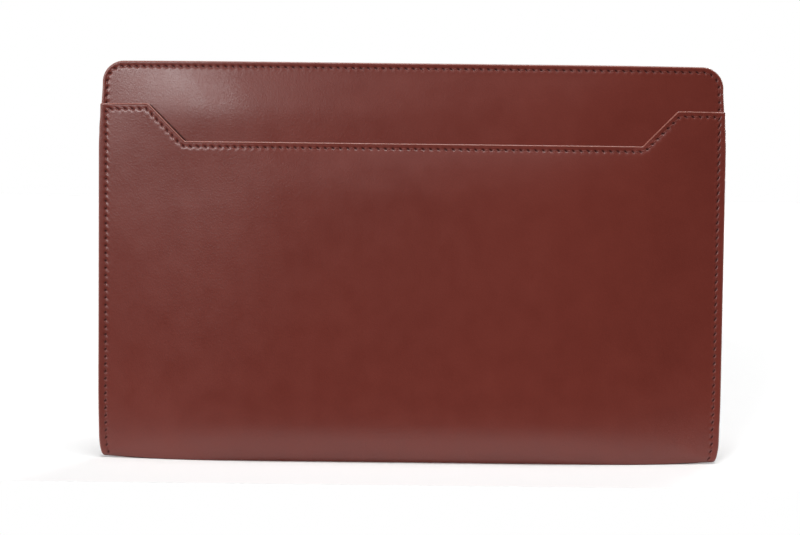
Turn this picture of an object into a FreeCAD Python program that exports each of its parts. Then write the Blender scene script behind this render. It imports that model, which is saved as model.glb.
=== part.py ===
"""Slim leather document case: folded outer wrap, sewn side seams, recessed top zip, front slip pocket.

Millimetres. X runs along the zip, the front with the slip pocket faces -Y, Z is up, and the origin is at
the centre of the base. The leather is drawn as faceted sheets between shared stations, so that layers that
are glued or sewn together meet face to face.
"""
import FreeCAD
import Part

import math
import os

from FreeCAD import Vector

# ---- overall size -------------------------------------------------------------------------------------
WIDTH = 354.0
HEIGHT = 225.0
LEATHER = 1.4
BOARD = 0.8
LINING = 0.6
FACING = 1.0
HALF_WIDTH = WIDTH / 2

# ---- side seams ---------------------------------------------------------------------------------------
SEAM_BAND = 9.0
SEAM_X = HALF_WIDTH - SEAM_BAND
SEAM_FRONT = 1.5 * LEATHER
SEAM_MID = 0.5 * LEATHER
STITCH_MARGIN = 4.0
EDGE_MARGIN = 2.9

# ---- how fast the case fills out from a seam -----------------------------------------------------------
RAMP_LOW = 70.0
RAMP_TOP = 24.0
RAMP_TURN_Z = 120.0
BASE_RAMP = 38.0

# ---- base and fold ------------------------------------------------------------------------------------
BASE_HALF = 8.0
FOLD_Z = 22.0
SEAM_FOLD_Z = 2.0
SEAM_BASE_HALF = 0.1
CORNER_LIFT = 0.8
FRONT_PANEL_FOOT = 12.0
SEAM_PANEL_FOOT = 3.0

# ---- depth of each face from the plane y = 0, at heights above the base ---------------------------------
POCKET_FACE = [(0, 14.0), (22, 14.0), (60, 14.4), (100, 14.5), (140, 14.5), (180, 14.3), (200, 14.0),
               (225, 14.0)]
FRONT_FACE = [(0, 11.8), (12, 11.8), (22, 11.0), (60, 8.4), (100, 8.2), (140, 8.1), (180, 8.0),
              (225, 8.0)]
BACK_FACE = [(0, 13.6), (22, 13.6), (60, 14.5), (100, 14.5), (140, 13.4), (180, 10.6), (200, 8.4),
             (213, 8.0), (225, 8.0)]

# ---- outlines -----------------------------------------------------------------------------------------
TOP_CORNER_R = 12.0
BOTTOM_CORNER_R = 4.5
TOP_INSET = 2.4
BOTTOM_INSET = 1.2
STRAIGHT_FROM_Z = 40.0
POCKET_OVERHANG = 1.1
SHOULDER_Z = 200.0
SHOULDER_X = 149.0
CUTOUT_Z = 180.0
CUTOUT_X = 129.0
CUTOUT_R = 2.0

# ---- where the leather bends: the middle of the front wall moves, its ends stay with the side seams ------
FLEX_X = 112.0
POCKET_FLEX_X = 50.0
PART_GAP = 0.15
JOINT_GAP = 0.3

# ---- inside -------------------------------------------------------------------------------------------
BOARD_FOOT = 24.0
BOARD_TOP = 199.0
LINING_X = 146.0
FACING_FOOT = 200.0

# ---- zip ----------------------------------------------------------------------------------------------
TEETH_Z = 216.0
TOOTH_PITCH = 2.54
TOOTH_LONG = 1.1
TOOTH_HIGH = 2.2
TOOTH_HEAD = 0.75
TOOTH_TAIL = 2.9
TOOTH_JAW = 1.4
TEETH_END = 134.0
TAPE = 0.6
TAPE_BEND = 5.0
TAPE_SIDE = 5.6
TAPE_FOOT = 204.0
TAPE_END = 140.0
STOP_LONG = 1.4
STOP_CLEAR = 0.8
STOP_INNER = 0.9
STOP_HIGH = TOOTH_HIGH + 0.4
END_TAB = 6.0
END_TAB_HIGH = 3.0
END_TAB_R = 0.8
END_TAB_OUT = 3.2
SLIDER_X = 127.5
SLIDER_LONG = 12.0
SLIDER_WIDE = 9.0
SLIDER_TAPER = 1.3
SLIDER_NOSE = 3.0
PLATE = 1.0
SLIDER_GAP = 0.3
FLANGE_Y = 3.2

# ---- pull ---------------------------------------------------------------------------------------------
PIVOT_R = 0.6
BRIDGE_WIDE = 2.2
BRIDGE_LONG = 7.4
BRIDGE_WINDOW = 1.6
BRIDGE_BAR = 0.9
BRIDGE_POST = 1.2
BRIDGE_R = 0.7
LINK_HALF = 2.8
LINK_ARM = 0.8
LINK_LONG = 8.0
TAB_LONG = 16.0
TAB_WIDE = 7.0
TAB_THICK = 2.4
TAB_END_R = 2.0
TAB_NOSE = 1.2
TAB_CLEAR = 0.3
RIVET_OUT = 5.2
RIVET_R = 0.8
RIVET_HEAD_R = 1.7
RIVET_HEAD = 0.35

# ---- thread -------------------------------------------------------------------------------------------
THREAD_WIDE = 0.8
THREAD_HIGH = 0.35
THREAD_CLEAR = 0.04
SLANT_STEPS = 14
TOP_THREAD_X = 160.0
SIDE_THREAD_FOOT = 7.0
SHOULDER_THREAD_GAP = 1.5

# ---- where the sheets have their corners, along x and up z ------------------------------------------------
STATION_STEPS = [98.0, 112.0, 126.0, 140.0, 150.0, 156.0, 162.0, SEAM_X, HALF_WIDTH]
STATIONS = [-x for x in reversed(STATION_STEPS)] + STATION_STEPS
KNOTS = [0.0, 12.0, FOLD_Z, 60.0, 100.0, 140.0, 160.0, 180.0, 200.0, 213.0, HEIGHT]


def clip01(value):
    return max(0.0, min(1.0, value))


def smooth(value):
    t = clip01(value)
    return t * t * (3 - 2 * t)


def interpolate(table, at):
    """Value of a list of (place, value) pairs at a place between its ends."""
    for (z0, v0), (z1, v1) in zip(table, table[1:]):
        if at <= z1:
            return v0 + (v1 - v0) * clip01((at - z0) / (z1 - z0))
    return table[-1][1]


def ramp_length(z):
    """Distance from the seam over which the case reaches its full thickness; shorter at the zip."""
    return RAMP_LOW + (RAMP_TOP - RAMP_LOW) * smooth((z - RAMP_TURN_Z) / (HEIGHT - RAMP_TURN_Z))


def fullness(x, z):
    """0 at a side seam and 1 where the case has its full thickness."""
    return math.sin(math.pi / 2 * clip01((SEAM_X - abs(x)) / ramp_length(z)))


def base_fullness(x):
    return math.sin(math.pi / 2 * clip01((SEAM_X - abs(x)) / BASE_RAMP))


def bracket(marks, at):
    """The marks on each side of a place, and the share of the way from one to the other."""
    for low, high in zip(marks, marks[1:]):
        if at <= high:
            return low, high, clip01((at - low) / (high - low))
    return marks[-2], marks[-1], 1.0


def faceted(function, x, z=None):
    """A function of x, or of x and z, straightened between the stations and the knots."""
    x0, x1, s = bracket(STATIONS, x)
    if z is None:
        return function(x0) * (1 - s) + function(x1) * s
    z0, z1, t = bracket(KNOTS, z)
    low = function(x0, z0) * (1 - s) + function(x1, z0) * s
    high = function(x0, z1) * (1 - s) + function(x1, z1) * s
    return low * (1 - t) + high * t


def depth(profile, seam_depth, x, z):
    """Distance of a leather face from the plane y = 0."""
    def exact(sx, sz):
        return seam_depth + (interpolate(profile, sz) - seam_depth) * fullness(sx, sz)
    return faceted(exact, x, z)


def pocket_face(x, z):
    return -depth(POCKET_FACE, SEAM_FRONT, x, z)


def front_face(x, z):
    return -depth(FRONT_FACE, SEAM_MID, x, z)


def back_face(x, z):
    return depth(BACK_FACE, SEAM_FRONT, x, z)


def fold_z(x):
    return faceted(lambda sx: SEAM_FOLD_Z + (FOLD_Z - SEAM_FOLD_Z) * base_fullness(sx) + lift(sx), x)


def base_half(x):
    return faceted(lambda sx: SEAM_BASE_HALF + (BASE_HALF - SEAM_BASE_HALF) * base_fullness(sx), x)


def lift(x):
    return CORNER_LIFT * (1 - base_fullness(x)) ** 2


def base_z(x):
    return faceted(lift, x)


def panel_foot(x):
    def exact(sx):
        return SEAM_PANEL_FOOT + (FRONT_PANEL_FOOT - SEAM_PANEL_FOOT) * base_fullness(sx)
    return faceted(exact, x)


def stations_between(x0, x1):
    return [x0] + [s for s in STATIONS if x0 < s < x1] + [x1]


def loft(sections):
    """Solid through closed sections, each a list of (x, y, z) points."""
    wires = [Part.makePolygon([Vector(*p) for p in points + points[:1]]) for points in sections]
    return Part.makeLoft(wires, True, True)


def sheet(x0, x1, outer, thick, foot, top):
    """A wall sheet between two x places. outer(x, z) is its outer face, and thick carries it inwards:
    positive towards +Y, negative towards -Y. foot and top are heights, or functions of x."""
    sections = []
    for x in stations_between(x0, x1):
        low = foot(x) if callable(foot) else foot
        levels = [low] + [k for k in KNOTS if k > FOLD_Z + 1 and low < k < top] + [top]
        face = [(x, outer(x, z), z) for z in levels]
        sections.append(face + [(px, py + thick, pz) for px, py, pz in reversed(face)])
    return loft(sections)


def quarter(x, side, face, thick, steps=5):
    """Points of the fold's quarter ellipse at x, from the base to the wall, set in by thick."""
    low = base_z(x) + thick
    high = fold_z(x)
    half = base_half(x)
    reach = abs(face(x, high)) - thick - half
    points = []
    for i in range(steps + 1):
        turn = math.pi / 2 * i / steps
        y = side * (half + reach * math.sin(turn))
        points.append((x, y, low + (high - low) * (1 - math.cos(turn))))
    return points


def fold(x0, x1, side, face):
    """The rounded strip of the wrap between the base and one wall."""
    sections = []
    for x in stations_between(x0, x1):
        sections.append(quarter(x, side, face, 0.0) + quarter(x, side, face, LEATHER)[::-1])
    return loft(sections)


def fillet_corner(before, corner, after, radius):
    """The two ends and the middle of an arc that rounds a corner of an outline."""
    into = (corner - before).normalize()
    out = (after - corner).normalize()
    half_turn = math.acos(max(-1.0, min(1.0, into.dot(out)))) / 2
    reach = radius * math.tan(half_turn)
    first = corner - into * reach
    last = corner + out * reach
    toward = (out - into).normalize()
    centre = corner + toward * (radius / math.cos(half_turn))
    return first, centre - toward * radius, last


def prism(outline, y0, y1):
    """A block with an outline of (x, z, radius) corners, between two depths."""
    corners = [Vector(x, y0, z) for x, z, _ in outline]
    edges = []
    ends = []
    for i, (_, _, radius) in enumerate(outline):
        if radius:
            after = corners[(i + 1) % len(corners)]
            first, middle, last = fillet_corner(corners[i - 1], corners[i], after, radius)
            ends.append((first, last, Part.Arc(first, middle, last).toShape()))
        else:
            ends.append((corners[i], corners[i], None))
    for i, (first, last, arc) in enumerate(ends):
        if arc:
            edges.append(arc)
        edges.append(Part.makeLine(last, ends[(i + 1) % len(ends)][0]))
    return Part.Face(Part.Wire(edges)).extrude(Vector(0, y1 - y0, 0))


def mirrored(points):
    """An outline's right half, bottom to top, with its mirror image added."""
    return points + [(-x, z, r) for x, z, r in reversed(points)]


def side_foot():
    """The lower part of a side edge, which leans in a little towards the base."""
    return [(HALF_WIDTH - BOTTOM_INSET - 1, -1, 0), (HALF_WIDTH - BOTTOM_INSET, 6, 0),
            (HALF_WIDTH, STRAIGHT_FROM_Z, 0)]


def case_outline():
    return mirrored(side_foot() + [(HALF_WIDTH, CUTOUT_Z, 0),
                                   (HALF_WIDTH - POCKET_OVERHANG, SHOULDER_Z, 0),
                                   (HALF_WIDTH - TOP_INSET - 1, HEIGHT, TOP_CORNER_R)])


def pocket_outline():
    return mirrored(side_foot() + [(HALF_WIDTH, SHOULDER_Z, 0), (SHOULDER_X, SHOULDER_Z, CUTOUT_R),
                                   (CUTOUT_X, CUTOUT_Z, CUTOUT_R)])


def corner_cutter(side):
    """What is trimmed from a lower corner to round it."""
    x_out = side * (HALF_WIDTH + 1)
    x_in = side * (HALF_WIDTH - BOTTOM_INSET - BOTTOM_CORNER_R)
    z_in = CORNER_LIFT + BOTTOM_CORNER_R
    block = Part.makeBox(abs(x_out - x_in), 60, z_in + 1, Vector(min(x_out, x_in), -30, -1))
    round_bar = Part.makeCylinder(BOTTOM_CORNER_R, 60, Vector(x_in, -30, z_in), Vector(0, 1, 0))
    return block.cut(round_bar)


def trim(shape, outline):
    trimmed = shape.common(prism(outline, -40, 40))
    for side in (-1, 1):
        trimmed = trimmed.cut(corner_cutter(side))
    return trimmed.removeSplitter()


def both_sides(make):
    return [make(-HALF_WIDTH, -FLEX_X - PART_GAP), make(FLEX_X + PART_GAP, HALF_WIDTH)]


# ---- leather ------------------------------------------------------------------------------------------
def back_wrap():
    """Base and back wall in one piece of leather, drawn as one loft. The front edge of the base stands
    clear of the front fold as far as the fold moves."""
    sections = []
    for x in stations_between(-HALF_WIDTH, HALF_WIDTH):
        front = -base_half(x) + (JOINT_GAP if abs(x) <= FLEX_X else 0.0)
        levels = [k for k in KNOTS if k > FOLD_Z + 1]
        outside = [(x, front, base_z(x))] + quarter(x, 1, back_face, 0.0)
        outside += [(x, back_face(x, z), z) for z in levels]
        inside = [(x, front, base_z(x) + LEATHER)] + quarter(x, 1, back_face, LEATHER)
        inside += [(x, back_face(x, z) - LEATHER, z) for z in levels]
        sections.append(outside + inside[::-1])
    return trim(loft(sections), case_outline())


def front_fold():
    x = FLEX_X - PART_GAP
    return fold(-x, x, -1, pocket_face)


def pocket_middle():
    x = POCKET_FLEX_X - PART_GAP
    wall = sheet(-x, x, pocket_face, LEATHER, lambda at: fold_z(at) + JOINT_GAP, SHOULDER_Z)
    return trim(wall, pocket_outline())


def pocket_flanks():
    """The pocket leather between its moving middle and its fixed ends, joined to the front fold."""
    inner = POCKET_FLEX_X + PART_GAP
    outer = FLEX_X - PART_GAP
    shapes = []
    for x0, x1 in ((-outer, -inner), (inner, outer)):
        shapes.append(trim(sheet(x0, x1, pocket_face, LEATHER, fold_z, SHOULDER_Z), pocket_outline()))
    return shapes


def pocket_ends():
    """The pocket leather at the side seams, with its fold."""
    shapes = []
    for wall, strip in zip(both_sides(lambda a, b: sheet(a, b, pocket_face, LEATHER, fold_z, SHOULDER_Z)),
                           both_sides(lambda a, b: fold(a, b, -1, pocket_face))):
        shapes.append(trim(wall.fuse(strip), pocket_outline()))
    return shapes


def front_middle():
    x = FLEX_X - PART_GAP
    return trim(sheet(-x, x, front_face, LEATHER, panel_foot, HEIGHT), case_outline())


def front_ends():
    walls = both_sides(lambda a, b: sheet(a, b, front_face, LEATHER, panel_foot, HEIGHT))
    return [trim(wall, case_outline()) for wall in walls]


# ---- boards, linings and facings ----------------------------------------------------------------------
def inside(face, offset):
    """A face set in from a leather face, towards the middle of the case."""
    side = 1 if face is front_face else -1
    return lambda x, z: face(x, z) + side * (LEATHER + offset)


def front_board():
    x = FLEX_X - PART_GAP
    return sheet(-x, x, inside(front_face, 0), BOARD, BOARD_FOOT, BOARD_TOP)


def back_board():
    return sheet(-LINING_X, LINING_X, inside(back_face, 0), -BOARD, BOARD_FOOT, BOARD_TOP)


def front_lining():
    x = FLEX_X - PART_GAP
    return sheet(-x, x, inside(front_face, BOARD), LINING, BOARD_FOOT, BOARD_TOP)


def back_lining():
    return sheet(-LINING_X, LINING_X, inside(back_face, BOARD), -LINING, BOARD_FOOT, BOARD_TOP)


def front_facing():
    x = FLEX_X - PART_GAP
    return sheet(-x, x, inside(front_face, 0), FACING, FACING_FOOT, HEIGHT)


def back_facing():
    return sheet(-LINING_X, LINING_X, inside(back_face, 0), -FACING, FACING_FOOT, HEIGHT)


# ---- zip ----------------------------------------------------------------------------------------------
def tape(x0, x1, side):
    """One side of the zip tape: out from the teeth, then down along the facing."""
    inner = TOOTH_JAW
    section = [(inner, TEETH_Z - TAPE / 2), (TAPE_BEND, TEETH_Z - TAPE / 2), (TAPE_BEND, TAPE_FOOT),
               (TAPE_SIDE, TAPE_FOOT), (TAPE_SIDE, TEETH_Z + TAPE / 2), (inner, TEETH_Z + TAPE / 2)]
    points = [Vector(x0, side * y, z) for y, z in section]
    return Part.Face(Part.makePolygon(points + points[:1])).extrude(Vector(x1 - x0, 0, 0))


def tooth(x, side):
    """One tooth: a block that crosses the centre line, with a jaw that grips the tape."""
    y0, y1 = sorted((-side * TOOTH_HEAD, side * TOOTH_TAIL))
    corner = Vector(x - TOOTH_LONG / 2, y0, TEETH_Z - TOOTH_HIGH / 2)
    block = Part.makeBox(TOOTH_LONG, y1 - y0, TOOTH_HIGH, corner)
    j0, j1 = sorted((side * TOOTH_JAW, side * (TOOTH_TAIL + 1)))
    jaw_corner = Vector(x - TOOTH_LONG / 2 - 1, j0, TEETH_Z - TAPE / 2)
    return block.cut(Part.makeBox(TOOTH_LONG + 2, j1 - j0, TAPE, jaw_corner))


def tooth_places(offset):
    count = int(2 * TEETH_END / TOOTH_PITCH)
    start = -count * TOOTH_PITCH / 2 + offset
    return [start + i * TOOTH_PITCH for i in range(count + 1) if start + i * TOOTH_PITCH <= TEETH_END]


def back_teeth():
    return [tooth(x, 1) for x in tooth_places(0.0)]


def front_teeth(moving):
    places = tooth_places(TOOTH_PITCH / 2)
    edge = TOOTH_LONG / 2 + PART_GAP
    if moving:
        return [tooth(x, -1) for x in places if abs(x) + edge <= FLEX_X]
    return [tooth(x, -1) for x in places if abs(x) - edge >= FLEX_X]


def zip_stops():
    """A stop on each tape at the closed end, and one across both tapes at the open end."""
    x = TEETH_END + STOP_CLEAR
    low = TEETH_Z - STOP_HIGH / 2
    shapes = []
    for side in (-1, 1):
        y0, y1 = sorted((side * STOP_INNER, side * TOOTH_TAIL))
        stop = Part.makeBox(STOP_LONG, y1 - y0, STOP_HIGH, Vector(x, y0, low))
        shapes.append(stop.cut(tape(-TAPE_END, TAPE_END, side)))
    corner = Vector(-x - STOP_LONG, -TOOTH_TAIL, low)
    across = Part.makeBox(STOP_LONG, 2 * TOOTH_TAIL, STOP_HIGH, corner)
    for side in (-1, 1):
        across = across.cut(tape(-TAPE_END, TAPE_END, side))
    return shapes + [across]


def zip_end_tabs():
    """Leather tabs that close the mouth past each end of the tape."""
    shapes = []
    for side in (-1, 1):
        x = side * (TAPE_END + END_TAB_OUT)
        corner = Vector(x - END_TAB / 2, -END_TAB / 2, TEETH_Z - END_TAB_HIGH / 2)
        block = Part.makeBox(END_TAB, END_TAB, END_TAB_HIGH, corner)
        shapes.append(block.makeFillet(END_TAB_R, [e for e in block.Edges if e.BoundBox.XLength < 0.1]))
    return shapes


def plate_outline(z):
    """A slider plate: rounded, and narrower at the end that leaves the meshed teeth."""
    tail = SLIDER_X - SLIDER_LONG / 2
    nose = SLIDER_X + SLIDER_LONG / 2
    wide = SLIDER_WIDE / 2
    narrow = wide - SLIDER_TAPER
    outline = [(tail, -narrow), (nose - SLIDER_NOSE, -wide), (nose, -narrow), (nose, narrow),
               (nose - SLIDER_NOSE, wide), (tail, narrow)]
    points = [Vector(x, y, z) for x, y in outline]
    return Part.Face(Part.makePolygon(points + points[:1]))


def slider_plate(up):
    """One plate with its two side flanges."""
    face_z = TEETH_Z + up * (TOOTH_HIGH / 2 + SLIDER_GAP)
    plate = plate_outline(face_z).extrude(Vector(0, 0, up * PLATE))
    slot_z = TEETH_Z + up * (TAPE / 2 + SLIDER_GAP)
    flange = plate_outline(slot_z).extrude(Vector(0, 0, face_z - slot_z))
    corner = Vector(SLIDER_X - SLIDER_LONG / 2 - 1, -FLANGE_Y, TEETH_Z - 3)
    channel = Part.makeBox(SLIDER_LONG + 2, 2 * FLANGE_Y, 6, corner)
    return plate.fuse(flange.cut(channel)).removeSplitter()


PLATE_TOP = TEETH_Z + TOOTH_HIGH / 2 + SLIDER_GAP + PLATE
PIVOT_Z = PLATE_TOP + BRIDGE_WINDOW / 2
TAB_X = SLIDER_X - LINK_LONG


def slider_bridge():
    """The arch on the upper plate that the pull hangs from."""
    high = BRIDGE_WINDOW + BRIDGE_BAR
    corner = Vector(SLIDER_X - BRIDGE_LONG / 2, -BRIDGE_WIDE / 2, PLATE_TOP)
    arch = Part.makeBox(BRIDGE_LONG, BRIDGE_WIDE, high, corner)
    top_ends = [e for e in arch.Edges
                if abs(e.CenterOfMass.z - PLATE_TOP - high) < 0.01 and e.BoundBox.XLength < 0.1]
    window = Part.makeBox(BRIDGE_LONG - 2 * BRIDGE_POST, BRIDGE_WIDE + 2, BRIDGE_WINDOW,
                          corner + Vector(BRIDGE_POST, -1, 0))
    return arch.makeFillet(BRIDGE_R, top_ends).cut(window)


def pull_link():
    """Metal loop: a round bar under the bridge, two arms, and a bar through the leather tab."""
    along_y = Vector(0, 1, 0)
    link = Part.makeCylinder(PIVOT_R, 2 * LINK_HALF, Vector(SLIDER_X, -LINK_HALF, PIVOT_Z), along_y)
    link = link.fuse(Part.makeCylinder(PIVOT_R, 2 * LINK_HALF, Vector(TAB_X, -LINK_HALF, PIVOT_Z), along_y))
    for y in (-LINK_HALF, LINK_HALF - LINK_ARM):
        link = link.fuse(Part.makeBox(LINK_LONG, LINK_ARM, 2 * PIVOT_R, Vector(TAB_X, y, PIVOT_Z - PIVOT_R)))
    return link.removeSplitter()


def tab_body():
    """Leather tab folded round the link's far bar, with a notch for each of the link's arms."""
    half = TAB_WIDE / 2
    nose = TAB_X + TAB_NOSE
    end = TAB_X - TAB_LONG
    outline = [(nose, 1.4 - half), (nose, half - 1.4), (TAB_X - 2.0, half), (end, half), (end, -half),
               (TAB_X - 2.0, -half)]
    points = [Vector(x, y, PIVOT_Z - TAB_THICK / 2) for x, y in outline]
    tab = Part.Face(Part.makePolygon(points + points[:1])).extrude(Vector(0, 0, TAB_THICK))
    upright = [e for e in tab.Edges if e.BoundBox.ZLength > 1 and e.CenterOfMass.x < end + 1]
    tab = tab.makeFillet(TAB_END_R, upright)
    back = TAB_X - PIVOT_R - 0.1
    notch_wide = LINK_ARM + TAB_CLEAR + 1
    for y in (-LINK_HALF - 1, LINK_HALF - LINK_ARM - TAB_CLEAR):
        tab = tab.cut(Part.makeBox(3.6, notch_wide, TAB_THICK + 2, Vector(back, y, PIVOT_Z - TAB_THICK)))
    return tab.cut(Part.makeCylinder(PIVOT_R, 20, Vector(TAB_X, -10, PIVOT_Z), Vector(0, 1, 0)))


def tab_rivet():
    """Rivet that holds the folded tab shut."""
    x = TAB_X - RIVET_OUT
    shank = Part.makeCylinder(RIVET_R, TAB_THICK, Vector(x, 0, PIVOT_Z - TAB_THICK / 2))
    for up in (1, -1):
        face = Vector(x, 0, PIVOT_Z + up * TAB_THICK / 2)
        shank = shank.fuse(Part.makeCylinder(RIVET_HEAD_R, RIVET_HEAD, face, Vector(0, 0, up)))
    return shank.removeSplitter()


def tab():
    return tab_body().cut(Part.makeCylinder(RIVET_R, 10, Vector(TAB_X - RIVET_OUT, 0, PIVOT_Z - 5)))


# ---- thread -------------------------------------------------------------------------------------------
def thread(path, face, outward):
    """A run of thread laid on a leather face along (x, z) points. outward is -1 at the front and 1 at the
    back."""
    points = [Vector(x, 0, z) for x, z in path]
    runs = [(b - a).normalize() for a, b in zip(points, points[1:])]
    sections = []
    for i, (x, z) in enumerate(path):
        into = runs[max(i - 1, 0)]
        out = runs[min(i, len(runs) - 1)]
        along = (into + out).normalize()
        across = Vector(-along.z, 0, along.x) * (THREAD_WIDE / 2 / along.dot(out))
        corners = []
        for side, rise in ((-1, THREAD_CLEAR), (1, THREAD_CLEAR), (1, THREAD_HIGH), (-1, THREAD_HIGH)):
            px = x + side * across.x
            pz = z + side * across.z
            corners.append((px, face(px, pz) + outward * rise, pz))
        sections.append(corners)
    return loft(sections)


def level_path(x0, x1, z):
    return [(x, z) for x in stations_between(x0, x1)]


def slanted_path(start, end):
    """Evenly spaced points strictly between two places."""
    shares = [i / SLANT_STEPS for i in range(1, SLANT_STEPS)]
    return [(start[0] + (end[0] - start[0]) * t, start[1] + (end[1] - start[1]) * t) for t in shares]


TOP_LINE = HEIGHT - EDGE_MARGIN
CUTOUT_LINE = CUTOUT_Z - EDGE_MARGIN
SHOULDER_LINE = SHOULDER_Z - EDGE_MARGIN
SIDE_LINE = HALF_WIDTH - STITCH_MARGIN
SLANT_SHIFT = EDGE_MARGIN * math.tan(math.pi / 8)


def front_top_thread():
    x = FLEX_X - PART_GAP
    return thread(level_path(-x, x, TOP_LINE), front_face, -1)


def back_top_thread():
    return thread(level_path(-TOP_THREAD_X, TOP_THREAD_X, TOP_LINE), back_face, 1)


def pocket_thread():
    x = POCKET_FLEX_X - PART_GAP
    return thread(level_path(-x, x, CUTOUT_LINE), pocket_face, -1)


def pocket_flank_threads():
    shapes = []
    for side in (-1, 1):
        ends = sorted((side * (POCKET_FLEX_X + PART_GAP), side * (FLEX_X - PART_GAP)))
        shapes.append(thread(level_path(ends[0], ends[1], CUTOUT_LINE), pocket_face, -1))
    return shapes


def pocket_end_threads():
    """Along the cut-out, up the slant and along the shoulder to the side seam."""
    shapes = []
    for side in (-1, 1):
        turn_x = CUTOUT_X + SLANT_SHIFT
        shoulder = SHOULDER_X + SLANT_SHIFT
        path = level_path(FLEX_X + PART_GAP, turn_x, CUTOUT_LINE)
        path += slanted_path((turn_x, CUTOUT_LINE), (shoulder, SHOULDER_LINE))
        path += level_path(shoulder, SIDE_LINE - SHOULDER_THREAD_GAP, SHOULDER_LINE)
        shapes.append(thread([(side * x, z) for x, z in path], pocket_face, -1))
    return shapes


def side_threads():
    """Thread of both side seams: on the pocket leather, on the front panel above it, and at the back."""
    shapes = []
    for side in (-1, 1):
        upper = side * (SIDE_LINE - POCKET_OVERHANG)
        foot = (side * SIDE_LINE, SIDE_THREAD_FOOT)
        shoulder = (side * SIDE_LINE, SHOULDER_Z - 1)
        top = (upper, HEIGHT - TOP_CORNER_R)
        shapes.append(thread([foot, shoulder], pocket_face, -1))
        shapes.append(thread([(upper, SHOULDER_Z + 0.5), top], front_face, -1))
        shapes.append(thread([foot, shoulder, top], back_face, 1))
    return shapes


def front_end_threads():
    shapes = []
    for side in (-1, 1):
        ends = sorted((side * (FLEX_X + PART_GAP), side * TOP_THREAD_X))
        shapes.append(thread(level_path(ends[0], ends[1], TOP_LINE), front_face, -1))
    return shapes


def front_tape_ends():
    return [tape(-TAPE_END, -FLEX_X - PART_GAP, -1), tape(FLEX_X + PART_GAP, TAPE_END, -1)]


NODES = {
    "back_wrap": back_wrap,
    "front_panel": front_middle,
    "front_panel_ends": front_ends,
    "front_fold": front_fold,
    "pocket_panel": pocket_middle,
    "pocket_flanks": pocket_flanks,
    "pocket_ends": pocket_ends,
    "front_board": front_board,
    "back_board": back_board,
    "front_lining": front_lining,
    "back_lining": back_lining,
    "front_zip_facing": front_facing,
    "back_zip_facing": back_facing,
    "front_zip_tape": lambda: tape(-FLEX_X + PART_GAP, FLEX_X - PART_GAP, -1),
    "front_zip_tape_ends": front_tape_ends,
    "back_zip_tape": lambda: tape(-TAPE_END, TAPE_END, 1),
    "front_zip_teeth": lambda: front_teeth(True),
    "front_zip_end_teeth": lambda: front_teeth(False),
    "back_zip_teeth": back_teeth,
    "zip_stops": zip_stops,
    "zip_end_tabs": zip_end_tabs,
    "slider_upper_plate": lambda: slider_plate(1),
    "slider_lower_plate": lambda: slider_plate(-1),
    "slider_bridge": slider_bridge,
    "pull_link": pull_link,
    "pull_tab": tab,
    "pull_rivet": tab_rivet,
    "front_top_stitching": front_top_thread,
    "front_end_stitching": front_end_threads,
    "back_top_stitching": back_top_thread,
    "pocket_edge_stitching": pocket_thread,
    "pocket_flank_stitching": pocket_flank_threads,
    "pocket_end_stitching": pocket_end_threads,
    "side_seam_stitching": side_threads,
}


def main():
    os.makedirs("parts", exist_ok=True)
    for name, make in NODES.items():
        made = make()
        shape = Part.makeCompound(made) if isinstance(made, list) else made
        shape.exportStep(f"parts/{name}.step")
        box = shape.BoundBox
        print(name, "solids", len(shape.Solids), "valid", shape.isValid(), "volume", round(shape.Volume, 1),
              "from", [round(v, 2) for v in (box.XMin, box.YMin, box.ZMin)],
              "to", [round(v, 2) for v in (box.XMax, box.YMax, box.ZMax)])


main()
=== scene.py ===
import math

import bpy
import numpy as np
from mathutils import Matrix, Vector
from mathutils.geometry import delaunay_2d_cdt


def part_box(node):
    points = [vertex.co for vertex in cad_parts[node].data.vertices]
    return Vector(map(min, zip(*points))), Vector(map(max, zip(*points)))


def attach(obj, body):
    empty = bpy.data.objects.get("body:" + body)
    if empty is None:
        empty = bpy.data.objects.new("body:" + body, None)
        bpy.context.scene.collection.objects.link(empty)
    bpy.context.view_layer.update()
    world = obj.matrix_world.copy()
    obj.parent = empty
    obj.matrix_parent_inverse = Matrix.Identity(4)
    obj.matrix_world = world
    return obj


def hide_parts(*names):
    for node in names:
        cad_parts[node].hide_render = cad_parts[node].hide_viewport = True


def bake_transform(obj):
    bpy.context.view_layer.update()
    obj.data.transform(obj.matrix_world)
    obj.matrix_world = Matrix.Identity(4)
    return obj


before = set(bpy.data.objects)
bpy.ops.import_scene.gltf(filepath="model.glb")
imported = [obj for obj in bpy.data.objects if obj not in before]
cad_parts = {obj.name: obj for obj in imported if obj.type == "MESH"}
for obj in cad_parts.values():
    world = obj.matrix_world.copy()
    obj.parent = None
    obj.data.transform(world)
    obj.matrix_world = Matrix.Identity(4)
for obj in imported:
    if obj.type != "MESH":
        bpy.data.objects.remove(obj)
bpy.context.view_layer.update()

# Lengths are millimetres up to the room, and are turned into metres where a mesh is made. x runs along
# the zip, the front looks towards -y, and "depth" is the distance of a face from the plane y = 0. A sheet
# of leather is drawn on (x, s), where s is the height up the wall and runs on round the fold down to 0 at
# the base. A side of -1 is the front and 1 is the back.
MM = 0.001


def top_of(node):
    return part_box(node)[1].z / MM


# ---- sizes taken from the frame ----
HALF_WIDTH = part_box("back_wrap")[1].x / MM
HEIGHT = top_of("back_wrap")
SHOULDER_Z = top_of("pocket_ends")
CUTOUT_Z = top_of("pocket_panel")
HINGE_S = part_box("pocket_panel")[0].z / MM

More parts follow.
